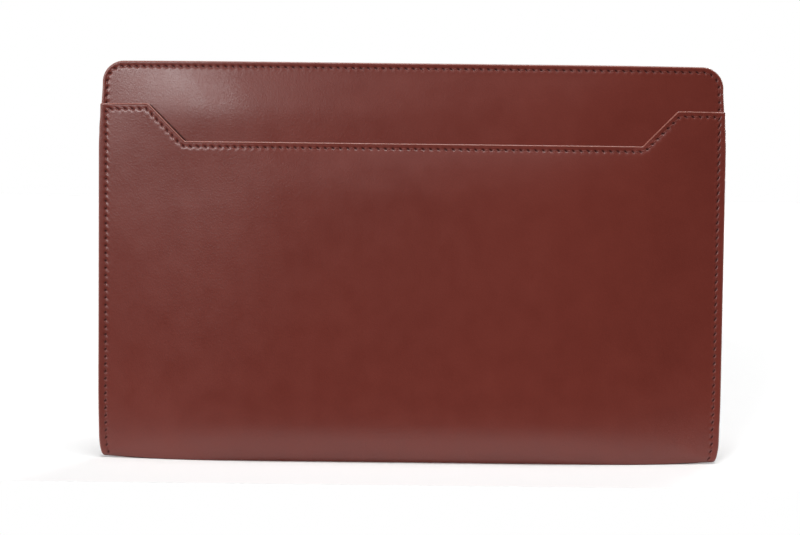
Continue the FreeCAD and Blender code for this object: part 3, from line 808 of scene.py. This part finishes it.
def woven_material(name, light, dark, pitch):
    """Plain weave: threads of two tones that pass over and under each other."""
    n = Nodes(name)
    wave_x = n.tree.nodes.new("ShaderNodeTexWave")
    wave_z = n.tree.nodes.new("ShaderNodeTexWave")
    wave_x.bands_direction = "X"
    wave_z.bands_direction = "DIAGONAL"
    for wave in (wave_x, wave_z):
        n.set(wave, Vector=n.place, Scale=0.31 / pitch, Distortion=0.25, Detail=1.0)
    weave = n.math("MULTIPLY", wave_x.outputs["Fac"], wave_z.outputs["Fac"])
    fuzz = n.noise(1800.0, 3.0)
    colour = n.mix(n.remap(weave, 0.05, 0.8), dark, light)
    colour = n.mix(n.remap(fuzz, 0.4, 0.75, 0.0, 0.25), colour, light)
    n.set(n.shader, Base_Color=colour, Roughness=n.remap(fuzz, 0.3, 0.7, 0.75, 0.92),
          Normal=n.bump(n.math("ADD", weave, n.math("MULTIPLY", fuzz, 0.4)), 0.0001, 0.8))
    n.shader.inputs["Sheen Weight"].default_value = 0.15
    return n.material


def metal_material():
    n = Nodes("antique_brass")
    tarnish = n.noise(340.0, 4.0, 0.6)
    brushed = n.noise(1300.0, 2.0, 0.6, n.stretched(1.0, 0.25, 1.0))
    colour = n.mix(n.remap(tarnish, 0.35, 0.7), BRASS_BRIGHT, BRASS_DULL)
    rough = n.math("ADD", n.remap(tarnish, 0.3, 0.7, 0.2, 0.4), n.remap(brushed, 0.3, 0.7, 0.0, 0.08))
    n.set(n.shader, Base_Color=colour, Roughness=rough, Normal=n.bump(brushed, 0.00003, 0.5))
    n.shader.inputs["Metallic"].default_value = 1.0
    return n.material


def board_material():
    n = Nodes("stiffener_board")
    fibres = n.noise(420.0, 4.0, 0.6, n.stretched(1.0, 1.0, 0.3))
    colour = n.mix(n.remap(fibres, 0.3, 0.7), BOARD_DARK, BOARD_LIGHT)
    n.set(n.shader, Base_Color=colour, Roughness=n.remap(fibres, 0.3, 0.7, 0.7, 0.85),
          Normal=n.bump(fibres, 0.0001, 0.6))
    return n.material


leather = leather_material()
thread = thread_material()
lining = woven_material("lining_cloth", LINING_LIGHT, LINING_DARK, LINING_PITCH)
tape_cloth = woven_material("zip_tape_cloth", TAPE_LIGHT, TAPE_DARK, TAPE_PITCH)
brass = metal_material()
board = board_material()


# ---- leather pieces ----
def left_of(limit):
    return lambda x, z: x < limit


def everything(x, z):
    return x < 1e9


WHOLE = [("", everything)]
SIDES = [("_left", left_of(0.0)), ("_right", everything)]


def single(name, soup, material, body, slot, *nodes):
    """One rigid piece that stands for the named CAD nodes."""
    made = split(name, soup, material, WHOLE)[""]
    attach(made, body)
    if nodes:
        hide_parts(*nodes)


def bend_left_and_right(made):
    for side, suffix in ((-1, "_left"), (1, "_right")):
        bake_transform(made[suffix])


def bending_pair(name, soup, material, slot, *nodes):
    """Two pieces, left and right, split at the middle of the front wall."""
    made = split(name, soup, material, SIDES)
    bend_left_and_right(made)
    for piece in made.values():
        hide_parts(*nodes)


def pocket_pieces(name, soup, material, inner_parts, outer_nodes, inner_node):
    """Four pieces: two outer ones out to the side seams, and two in the middle of the pocket."""
    made = split(name, soup, material, inner_parts + SIDES)
    bend_left_and_right(made)
    inner = {"_left": made["_inner_left"], "_right": made["_inner_right"]}
    bend_left_and_right(inner)
    for piece in inner.values():
        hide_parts(inner_node)
    for suffix in inner:
        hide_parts(*outer_nodes)


def front_panel():
    soup = Soup()
    add_sheet(soup, plain_surface(front_depth, -1), front_outline, -1)
    bending_pair("front_panel", soup, leather, "case_leather", "front_panel", "front_panel_ends")


def pocket_leather():
    """The front of the outer wrap: two outer pieces with the fold, and two inner ones."""
    soup = Soup()
    add_sheet(soup, wrap_surface(pocket_depth, -1), pocket_outline, -1, hinge=True)

    def pocket_side(low, high):
        return lambda x, z: (x > low) & (x < high) & (z > HINGE_S)

    inner_parts = [("_inner_left", pocket_side(-BEND_IN, 0)), ("_inner_right", pocket_side(0, BEND_IN))]
    pocket_pieces("pocket_panel", soup, leather, inner_parts,
                  ["pocket_ends", "pocket_flanks", "front_fold"], "pocket_panel")


def add_base(soup, outer_foot):
    """The flat base of the wrap, between the back fold's foot and the line where the front fold starts."""
    x = np.concatenate(soup.points)[outer_foot, 0]
    shares = np.linspace(1, -1, 7)

    def row(share, lift):
        return soup.add(np.stack([x, base_half(x) * share, base_z(x) + lift], 1))

    rows = [outer_foot] + [row(share, 0.0) for share in shares[1:]]
    inner_rows = [row(share, LEATHER) for share in shares]
    soup.strips(rows, True)
    soup.strips(inner_rows, False)
    soup.strip(rows[-1], inner_rows[-1], True)


def back_wrap():
    soup = Soup()
    foot = add_sheet(soup, wrap_surface(back_depth, 1), back_outline, 1)
    add_base(soup, foot)
    single("back_wrap_leather", soup, leather, "case", "case_leather", "back_wrap")


# ---- stitches ----
def add_stitch(soup, start, end, across, normal, radius):
    """One stitch: a plump thread that dips into the leather at both ends, twisted as thread is."""
    sections = 9
    angles = turn_angles(10)
    rows = []
    for i in range(sections):
        t = i / (sections - 1)
        centre = start + (end - start) * (0.1 + 0.8 * t)
        rise = THREAD_RISE * math.sin(math.pi * t) - THREAD_RISE
        width = radius * (0.45 + 0.55 * math.sin(math.pi * min(max(t, 0.04), 0.96)) ** 0.45)
        ply = 1 + THREAD_PLY * np.cos(2 * angles + THREAD_TWIST * t)
        sideways = (np.cos(angles) * ply)[:, None] * across * width
        upwards = (np.sin(angles) * ply)[:, None] * normal * width * THREAD_FLAT
        rows.append(soup.add((centre + normal * (rise + THREAD_LIFT))[None] + sideways + upwards))
    soup.tube(rows)


def stitch_row(soup, surface, outline, side, keep):
    """Stitches along an outline's stitch line where keep(x, s) holds for the stitch's middle."""
    ring = outline.ring(STITCH_MARGIN)
    lengths = run_length(ring)
    pitch = stitch_pitch(outline)
    marks = np.arange(0, lengths[-1] + pitch / 2, pitch)
    x = np.interp(marks, lengths, ring[:, 0])
    s = np.interp(marks, lengths, ring[:, 1])
    points = surface(x, s)
    normals = outward(surface, x, s, side)
    for i in range(len(marks) - 1):
        if not keep((x[i] + x[i + 1]) / 2, (s[i] + s[i + 1]) / 2):
            continue
        normal = normals[i] + normals[i + 1]
        normal /= np.linalg.norm(normal)
        along = points[i + 1] - points[i]
        across = np.cross(normal, along)
        across /= np.linalg.norm(across)
        start = points[i] - normals[i] * THREAD_SINK + across * THREAD_SLANT
        end = points[i + 1] - normals[i + 1] * THREAD_SINK - across * THREAD_SLANT
        add_stitch(soup, start, end, across, normal, THREAD_R)


def front_stitches():
    soup = Soup()
    stitch_row(soup, plain_surface(front_depth, -1), front_outline, -1, lambda x, s: s > SHOULDER_Z - 1)
    bending_pair("front_top_stitches", soup, thread, "stitching_thread", "front_top_stitching",
                 "front_end_stitching")


def on_seam(x, s):
    return abs(x) > SIDE_STITCH_X - 8 and s < SHOULDER_Z - 4


def pocket_stitches():
    surface = wrap_surface(pocket_depth, -1)
    seam = Soup()
    stitch_row(seam, surface, pocket_outline, -1, on_seam)
    single("side_seam_stitches", seam, thread, "case", "stitching_thread", "side_seam_stitching")
    edge = Soup()
    stitch_row(edge, surface, pocket_outline, -1, lambda x, s: not on_seam(x, s))
    inner_parts = [("_inner_left", lambda x, z: (x > -BEND_IN) & (x < 0)),
                   ("_inner_right", lambda x, z: (x >= 0) & (x < BEND_IN))]
    pocket_pieces("pocket_edge_stitches", edge, thread, inner_parts,
                  ["pocket_end_stitching", "pocket_flank_stitching"], "pocket_edge_stitching")


def back_stitches():
    soup = Soup()
    stitch_row(soup, wrap_surface(back_depth, 1), back_outline, 1, lambda x, s: True)
    single("back_stitches", soup, thread, "case", "stitching_thread", "back_top_stitching",
           "side_seam_stitching")


# ---- strips inside the walls ----
STRIP_STEP = 4.0
LAYER_STEP = 6.0
BOARD_THICK = 0.8
LINING_THICK = 0.6
LINING_GAP = 0.02
FACING_THICK = 0.9
FACING_DROP = 0.5
FACING_END = 140.0


def wall_piece(name, soup, material, side, slot, *nodes):
    """A piece of a wall's inside: the front wall's is split into left and right, the back wall's stays
    whole.
    """
    if side < 0:
        bending_pair(name, soup, material, slot, *nodes)
    else:
        single(name + "_whole", soup, material, "case", slot, *nodes)


def wall_strip(name, material, section, end, side, slot, *nodes):
    """A thin piece swept from -end to end. section(x) gives a closed loop of (y, z) points."""
    soup = Soup()
    spans = max(4, round(2 * end / STRIP_STEP)) // 2 * 2
    rows = []
    for x in np.linspace(-end, end, spans + 1):
        loop = np.array(section(x))
        rows.append(soup.add(np.column_stack([np.full(len(loop), x), loop])))
    soup.tube(rows)
    wall_piece(name, soup, material, side, slot, *nodes)


def layer_section(wall_depth, side, inset, thick, low, high):
    """Loop of a layer that lies inset inside a wall's outer face."""
    heights = np.linspace(low, high, max(3, round((high - low) / LAYER_STEP)))
    nose = thick * 0.35

    def at(x):
        outer = wall_depth(np.full(len(heights), x), heights) - inset
        inner = outer - thick
        face = [(side * y, z) for y, z in zip(outer, heights)]
        back = [(side * y, z) for y, z in zip(inner, heights)][::-1]
        mid_top = (side * (outer[-1] + inner[-1]) / 2, high + nose)
        mid_low = (side * (outer[0] + inner[0]) / 2, low - nose)
        loop = face + [mid_top] + back + [mid_low]
        return loop if side > 0 else loop[::-1]
    return at


def box_mm(node):
    low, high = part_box(node)
    return [v / MM for v in low], [v / MM for v in high]


def linings_and_boards():
    under_board = LEATHER + BOARD_THICK + LINING_GAP
    layers = [("board", board, "stiffener_board", LEATHER, BOARD_THICK, 0.0, HALF_WIDTH),
              ("lining", lining, "lining_fabric", under_board, LINING_THICK, 0.0, HALF_WIDTH),
              ("zip_facing", leather, "case_leather", LEATHER, FACING_THICK, FACING_DROP, FACING_END)]
    for side, wall, prefix in ((-1, front_depth, "front"), (1, back_depth, "back")):
        for kind, material, slot, inset, thick, drop, longest in layers:
            low, high = box_mm(f"back_{kind}")
            end = min(high[0], longest)
            section = layer_section(wall, side, inset, thick, low[2], high[2] - drop)
            wall_strip(f"{prefix}_{kind}", material, section, end, side, slot, f"{prefix}_{kind}")


# ---- zip ----
TAPE = 0.6
TAPE_INSET = LEATHER + 1.05
TAPE_INNER = 1.4
TAPE_BEND_R = 1.6
TAPE_BEND_Z = 210.0
TEETH_Z = (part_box("back_zip_teeth")[0].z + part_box("back_zip_teeth")[1].z) / 2 / MM
TOOTH_PITCH = 2.54
# Rounded sections of one tooth, from its grip on the tape to its head: (y, half length, half height).
TOOTH = [(2.95, 0.30, 0.55), (2.75, 0.48, 0.85), (2.2, 0.55, 1.05), (1.5, 0.55, 1.10), (0.95, 0.42, 1.0),
         (0.45, 0.44, 0.98), (0.0, 0.54, 1.02), (-0.4, 0.50, 0.92), (-0.66, 0.34, 0.66), (-0.74, 0.12, 0.3)]


def tape_section(wall_depth, side):
    """From a corded edge between the teeth, out to the facing, round a bend and down it."""
    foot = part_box("back_zip_tape")[0].z / MM

    def at(x):
        def middle_y(z):
            return float(wall_depth(np.array([x]), np.array([z]))[0]) - TAPE_INSET - TAPE / 2

        bend = middle_y(TAPE_BEND_Z)
        radius = max(0.4, min(TAPE_BEND_R, bend - 2.2))
        flat_z = TEETH_Z - 0.1
        middle = [(TAPE_INNER, TEETH_Z), (TAPE_INNER + 0.7, TEETH_Z), (bend - radius, flat_z)]
        for k in range(1, 6):
            angle = math.pi / 2 * k / 5
            out = bend - radius + radius * math.sin(angle)
            middle.append((out, flat_z - radius * (1 - math.cos(angle))))
        for z in (TEETH_Z - 4.5, TEETH_Z - 8.0, foot):
            middle.append((middle_y(z), z))
        middle = np.array(middle)
        along = np.gradient(middle, axis=0)
        along /= np.linalg.norm(along, axis=1, keepdims=True)
        off = np.stack([along[:, 1], -along[:, 0]], 1) * TAPE / 2
        off[:2] *= 1.5
        loop = np.concatenate([middle + off, (middle - off)[::-1]])
        loop[:, 0] *= side
        return loop[::-1] if side > 0 else loop
    return at


def add_tooth(soup, x, side):
    rows = []
    angles = turn_angles(14)
    along, up = squared(np.cos(angles)), squared(np.sin(angles))
    for y, long, high in TOOTH:
        rows.append(soup.add(np.stack([x + long * along, np.full(14, side * y), TEETH_Z + high * up], 1)))
    soup.tube(rows, flip=side < 0)


def teeth(side, name, *nodes):
    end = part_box("back_zip_teeth")[1].x / MM - 0.5
    soup = Soup()
    count = int(2 * end / TOOTH_PITCH)
    offset = TOOTH_PITCH / 2 if side < 0 else 0.0
    for i in range(count + 1):
        x = -count * TOOTH_PITCH / 2 + offset + i * TOOTH_PITCH
        if x <= end:
            add_tooth(soup, x, side)
    wall_piece(name, soup, brass, side, "zip_metal", *nodes)


def zip_parts():
    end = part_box("back_zip_tape")[1].x / MM
    front, back = tape_section(front_depth, -1), tape_section(back_depth, 1)
    wall_strip("front_zip_tape", tape_cloth, front, end, -1, "zip_tape", "front_zip_tape",
               "front_zip_tape_ends")
    wall_strip("back_zip_tape", tape_cloth, back, end, 1, "zip_tape", "back_zip_tape")
    teeth(-1, "front_zip_teeth", "front_zip_teeth", "front_zip_end_teeth")
    teeth(1, "back_zip_teeth", "back_zip_teeth")


# ---- slider, pull and zip ends ----
PLATE_THICK = 1.0
PLATE_ROUND = 0.34
PLATE_TAPER = 1.4
FLANGE_IN = 3.25
FLANGE_SINK = 0.2
FLANGE_ROUND = 0.14
BRIDGE_BAR = 0.45
WIRE_R = 0.52
TAB_TONGUE_HALF = 1.7
TAB_TIP_R = 2.7
TAB_SHOULDER_R = 1.3
TAB_EDGE = 0.55
# Share of the lighter rim colour on the tab's edge: edge finish and a painted highlight.
TAB_RIM_FINISH_AND_HIGHLIGHT = 0.8
TAB_STITCH_INSET = 1.0
TAB_PITCH = 1.75
TAB_THREAD_R = 0.2
RIVET_R = 1.7
# A rivet head's outline: (share of the radius, height).
RIVET_CROWN = [(0.3, 0.0), (0.62, 0.03), (0.82, 0.09), (0.94, 0.17), (1.0, 0.27), (1.0, 0.36), (0.9, 0.42)]
STOP_LONG = 1.4
STOP_GAP = 0.9
END_TAB_LONG = 6.0
END_TAB_PITCH = 1.6
END_TAB_THREAD_R = 0.26


def rounded_loop(corners, steps=7):
    """A closed loop of (x, y) points through corners (x, y, reach); reach is how far each rounding runs."""
    points = []
    for i, (x, y, reach) in enumerate(corners):
        corner = np.array((x, y))
        before = np.array(corners[i - 1][:2]) - corner
        after = np.array(corners[(i + 1) % len(corners)][:2]) - corner
        start = corner + before / np.linalg.norm(before) * reach
        end = corner + after / np.linalg.norm(after) * reach
        for t in np.linspace(0, 1, steps):
            points.append((1 - t) ** 2 * start + 2 * t * (1 - t) * corner + t * t * end)
    return np.array(points)


def mirrored(corners):
    return [(x, -y, reach) for x, y, reach in corners]


def inward(loop):
    """Unit directions into an anticlockwise loop."""
    along = np.roll(loop, -1, axis=0) - np.roll(loop, 1, axis=0)
    along /= np.linalg.norm(along, axis=1, keepdims=True)
    return np.stack([-along[:, 1], along[:, 0]], 1)


def add_plate(soup, loop, low, high, rounding, edge=0.0):
    """A flat piece with rounded edges over an anticlockwise loop of (x, y)."""
    into = inward(loop)
    profile = [(rounding * 1.6, low, 0.0)]
    for a in np.linspace(0, math.pi / 2, 6):
        profile.append((rounding * (1 - math.sin(a)), low + rounding * (1 - math.cos(a)), math.sin(a)))
    profile += [(inset, low + high - z, finish_and_highlight) for inset, z, finish_and_highlight in reversed(profile)]
    rows = []
    for inset, z, finish_and_highlight in profile:
        ring = loop + into * inset
        rows.append(soup.add(np.column_stack([ring, np.full(len(ring), z)]), edge * finish_and_highlight))
    soup.tube(rows)


def slider_plates():
    for name in ("slider_upper_plate", "slider_lower_plate"):
        low, high = box_mm(name)
        upper = low[2] > TEETH_Z - 0.01
        wide = high[1]
        narrow = wide - PLATE_TAPER
        half = [(low[0], narrow, 1.5), (high[0] - 3.2, wide, 2.6), (high[0], narrow, 1.7)]
        loop = rounded_loop(mirrored(half) + half[::-1])
        soup = Soup()
        plate_low = high[2] - PLATE_THICK if upper else low[2]
        add_plate(soup, loop, plate_low, plate_low + PLATE_THICK, PLATE_ROUND)
        flange_low = low[2] if upper else plate_low + PLATE_THICK - FLANGE_SINK
        flange_high = plate_low + FLANGE_SINK if upper else high[2]
        for side in (-1, 1):
            corners = [(low[0] + 3.0, FLANGE_IN, 0.3), (high[0] - 1.0, FLANGE_IN, 0.2),
                       (high[0] - 1.4, wide - 0.7, 0.3), (high[0] - 3.4, wide - 0.15, 0.7)]
            if side < 0:
                corners = mirrored(corners)[::-1]
            add_plate(soup, rounded_loop(corners), flange_low, flange_high, FLANGE_ROUND)
        single(name.replace("_plate", "_shell"), soup, brass, "slider", "zip_metal", name)


def slider_bridge():
    """The arch on the upper plate that the pull hangs from: a flat bar bent at both ends."""
    low, high = box_mm("slider_bridge")
    x0, x1 = low[0] + BRIDGE_BAR + 0.1, high[0] - BRIDGE_BAR - 0.1
    top = high[2] - BRIDGE_BAR
    corners = [(x0, low[2] - 0.4, 0.1), (x1, low[2] - 0.4, 0.1), (x1, top, 0.9), (x0, top, 0.9)]
    path = np.roll(rounded_loop(corners), -10, axis=0)[:22]
    along = np.gradient(path, axis=0)
    along /= np.linalg.norm(along, axis=1, keepdims=True)
    angles = turn_angles(16)
    wide = squared(np.cos(angles)) * (high[1] - 0.05)
    thick = squared(np.sin(angles)) * BRIDGE_BAR
    soup = Soup()
    rows = []
    for (x, z), (ax, az) in zip(path, along):
        rows.append(soup.add(np.stack([x - az * thick, wide, z + ax * thick], 1)))
    soup.tube(rows)
    single("slider_arch", soup, brass, "slider", "zip_metal", "slider_bridge")


def pull_loop():
    """The wire loop that joins the slider's arch to the leather tab."""
    low, high = box_mm("pull_link")
    mid_z = (low[2] + high[2]) / 2
    x0, x1 = low[0] + WIRE_R, high[0] - WIRE_R
    half = high[1] - WIRE_R + 0.1
    path = rounded_loop([(x0, -half, 1.0), (x1, -half, 1.0), (x1, half, 1.0), (x0, half, 1.0)], 9)
    into = inward(path)
    angles = turn_angles(14)
    soup = Soup()
    rows = []
    for point, inner in zip(path, into):
        flat = point - np.cos(angles)[:, None] * inner * WIRE_R
        rows.append(soup.add(np.column_stack([flat, mid_z + np.sin(angles) * WIRE_R])))
    for a, b in zip(rows, rows[1:] + rows[:1]):
        soup.strip(a, b, flip=True, closed=True)
    single("pull_wire", soup, brass, "pull", "zip_metal", "pull_link")


def pull_tab():
    """Two plies of leather folded round the wire, stitched round the edge and riveted."""
    low, high = box_mm("pull_tab")
    wire = box_mm("pull_link")[0][0]
    half = high[1] - 0.25
    shoulder = wire - 0.15
    tip = (low[0], half, TAB_TIP_R)
    corners = [(high[0], TAB_TONGUE_HALF, 0.8), (shoulder, TAB_TONGUE_HALF, 0.25),
               (shoulder, half - 0.15, TAB_SHOULDER_R), tip]
    loop = rounded_loop(mirrored(corners)[::-1] + corners)
    soup = Soup()
    mid = (low[2] + high[2]) / 2
    add_plate(soup, loop, low[2], mid + 0.04, TAB_EDGE, TAB_RIM_FINISH_AND_HIGHLIGHT)
    add_plate(soup, loop, mid - 0.04, high[2], TAB_EDGE, TAB_RIM_FINISH_AND_HIGHLIGHT)
    single("pull_leather", soup, leather, "pull", "case_leather", "pull_tab")
    corners = [(shoulder, half, TAB_SHOULDER_R), tip]
    body = rounded_loop(mirrored(corners)[::-1] + corners)
    line = body + inward(body) * TAB_STITCH_INSET
    line = np.concatenate([line, line[:1]])
    lengths = run_length(line)
    count = round(lengths[-1] / TAB_PITCH)
    marks = np.linspace(0, lengths[-1], count + 1)
    x = np.interp(marks, lengths, line[:, 0])
    y = np.interp(marks, lengths, line[:, 1])
    soup = Soup()
    for z, up in ((high[2], 1.0), (low[2], -1.0)):
        normal = np.array((0.0, 0.0, up))
        points = np.column_stack([x, y, np.full(len(x), z - 0.02 * up)])
        for a, b in zip(points, points[1:]):
            across = np.cross(normal, b - a)
            across /= np.linalg.norm(across)
            add_stitch(soup, a, b, across, normal, TAB_THREAD_R)
    single("pull_stitches", soup, thread, "pull", "stitching_thread")


def pull_rivet():
    low, high = box_mm("pull_rivet")
    centre = np.array(((low[0] + high[0]) / 2, 0.0))
    profile = [(r, low[2] + z) for r, z in RIVET_CROWN]
    profile += [(r, high[2] - z) for r, z in reversed(RIVET_CROWN)]
    angles = turn_angles(28)
    circle = np.stack([np.cos(angles), np.sin(angles)], 1)
    soup = Soup()
    rows = []
    for r, z in profile:
        rows.append(soup.add(np.column_stack([centre + circle * r * RIVET_R, np.full(28, z)])))
    soup.tube(rows)
    single("pull_rivet_heads", soup, brass, "pull", "zip_metal", "pull_rivet")


def block_loop(x0, x1, y0, y1, reach):
    return rounded_loop([(x0, y0, reach), (x1, y0, reach), (x1, y1, reach), (x0, y1, reach)])


def zip_stops():
    """Two small stops at the closed end, and one across both tapes at the other end."""
    low, high = box_mm("zip_stops")
    soup = Soup()
    blocks = [(high[0] - STOP_LONG, STOP_GAP, high[1]), (high[0] - STOP_LONG, low[1], -STOP_GAP),
              (low[0], low[1], high[1])]
    for x, y0, y1 in blocks:
        add_plate(soup, block_loop(x, x + STOP_LONG, y0, y1, 0.35), low[2], high[2], 0.4)
    single("zip_stop_bars", soup, brass, "case", "zip_metal", "zip_stops")


def zip_end_tabs():
    """Stitched leather tabs that close the mouth past each end of the tape."""
    low, high = box_mm("zip_end_tabs")
    leathers = Soup()
    threads = Soup()
    up = np.array((0.0, 0.0, 1.0))
    for x in (low[0], high[0] - END_TAB_LONG):
        loop = block_loop(x, x + END_TAB_LONG, low[1], high[1], 1.1)
        add_plate(leathers, loop, low[2], high[2], 0.7, 0.9)
        for i in range(3):
            y = END_TAB_PITCH * i - 2.4
            a = np.array((x + END_TAB_LONG / 2, y, high[2] - 0.02))
            b = a + (0, END_TAB_PITCH, 0)
            add_stitch(threads, a, b, np.array((-1.0, 0.0, 0.0)), up, END_TAB_THREAD_R)
    single("zip_end_leathers", leathers, leather, "case", "case_leather", "zip_end_tabs")
    single("zip_end_stitches", threads, thread, "case", "stitching_thread")


# ---- room, lights and camera ----
# Lengths are metres from here on.
TABLE_HALF = 6.0
TABLE_FRONT = -0.08
ROOM_LIGHT = 0.10
CAMERA_TARGET = Vector((-0.0062, -0.012, 0.1107))
CAMERA_DISTANCE = 0.95
CAMERA_DOWN = math.radians(3.0)
CAMERA_ROLL = math.radians(0.67)
CAMERA_LENS = 76.3


def floor():
    """A white table top that ends a little in front of the case, so the front face mirrors a dark room."""
    mesh = bpy.data.meshes.new("floor")
    back = 2 * TABLE_HALF
    mesh.from_pydata([(-TABLE_HALF, TABLE_FRONT, 0), (TABLE_HALF, TABLE_FRONT, 0), (TABLE_HALF, back, 0),
                      (-TABLE_HALF, back, 0)], [], [(0, 1, 2, 3)])
    n = Nodes("pale_floor")
    n.set(n.shader, Roughness=0.8)
    n.shader.inputs["Base Color"].default_value = (*FLOOR_COLOUR, 1)
    n.shader.inputs["Specular IOR Level"].default_value = 0.2
    mesh.materials.append(n.material)
    made = add_object("floor", mesh)
    made.visible_diffuse = False


def aim(made, direction):
    made.rotation_mode = "QUATERNION"
    made.rotation_quaternion = Vector(direction).to_track_quat("-Z", "Y")


def area_light(name, place, target, size, power):
    data = bpy.data.lights.new(name, "AREA")
    data.shape = "RECTANGLE"
    data.size, data.size_y = size
    data.energy = power
    made = add_object(name, data)
    made.location = place
    made.visible_camera = False
    made.visible_diffuse = False
    aim(made, Vector(target) - Vector(place))


def far_light(name, azimuth, height, spread, strength):
    """Sunlight from azimuth degrees to the left of the front and height degrees up."""
    data = bpy.data.lights.new(name, "SUN")
    data.angle = math.radians(spread)
    data.energy = strength
    made = add_object(name, data)
    a, h = math.radians(azimuth), math.radians(height)
    aim(made, (math.sin(a) * math.cos(h), math.cos(a) * math.cos(h), -math.sin(h)))
    return made


def studio():
    world = bpy.data.worlds.new("studio")
    bpy.context.scene.world = world
    world.use_nodes = True
    tree = world.node_tree
    tree.nodes.clear()
    out = tree.nodes.new("ShaderNodeOutputWorld")
    path = tree.nodes.new("ShaderNodeLightPath")
    mix = tree.nodes.new("ShaderNodeMixShader")
    tree.links.new(path.outputs["Is Camera Ray"], mix.inputs[0])
    for socket, strength in ((mix.inputs[1], ROOM_LIGHT), (mix.inputs[2], 1.0)):
        background = tree.nodes.new("ShaderNodeBackground")
        background.inputs[0].default_value = (1, 1, 1, 1)
        background.inputs[1].default_value = strength
        tree.links.new(background.outputs[0], socket)
    tree.links.new(mix.outputs[0], out.inputs[0])
    far_light("key", 22, 9, 14, 3.95).visible_glossy = False
    far_light("overhead", -12, 78, 34, 2.45)
    far_light("back_fill", 205, 10, 30, 2.2)
    area_light("softbox", (-0.54, -0.69, 0.395), (-0.15, 0, 0.2), (0.66, 0.13), 3.3)
    area_light("glow", (-0.10, -1.45, 0.98), (0, 0, 0.17), (1.5, 0.3), 1.4)


def camera():
    data = bpy.data.cameras.new("camera")
    made = add_object("camera", data)
    back = Vector((0, -math.cos(CAMERA_DOWN), math.sin(CAMERA_DOWN)))
    made.location = CAMERA_TARGET + CAMERA_DISTANCE * back
    facing = (CAMERA_TARGET - made.location).to_track_quat("-Z", "Y").to_matrix().to_4x4()
    roll = Matrix.Rotation(CAMERA_ROLL, 4, "Z")
    made.matrix_world = Matrix.Translation(made.location) @ facing @ roll
    data.sensor_width = 36
    data.lens = CAMERA_LENS
    bpy.context.scene.camera = made


for build in (front_panel, pocket_leather, back_wrap, front_stitches, pocket_stitches, back_stitches,
              linings_and_boards, zip_parts, slider_plates, slider_bridge, pull_loop, pull_tab, pull_rivet,
              zip_stops, zip_end_tabs, floor, studio, camera):
    build()
bpy.context.scene.view_settings.view_transform = "Standard"
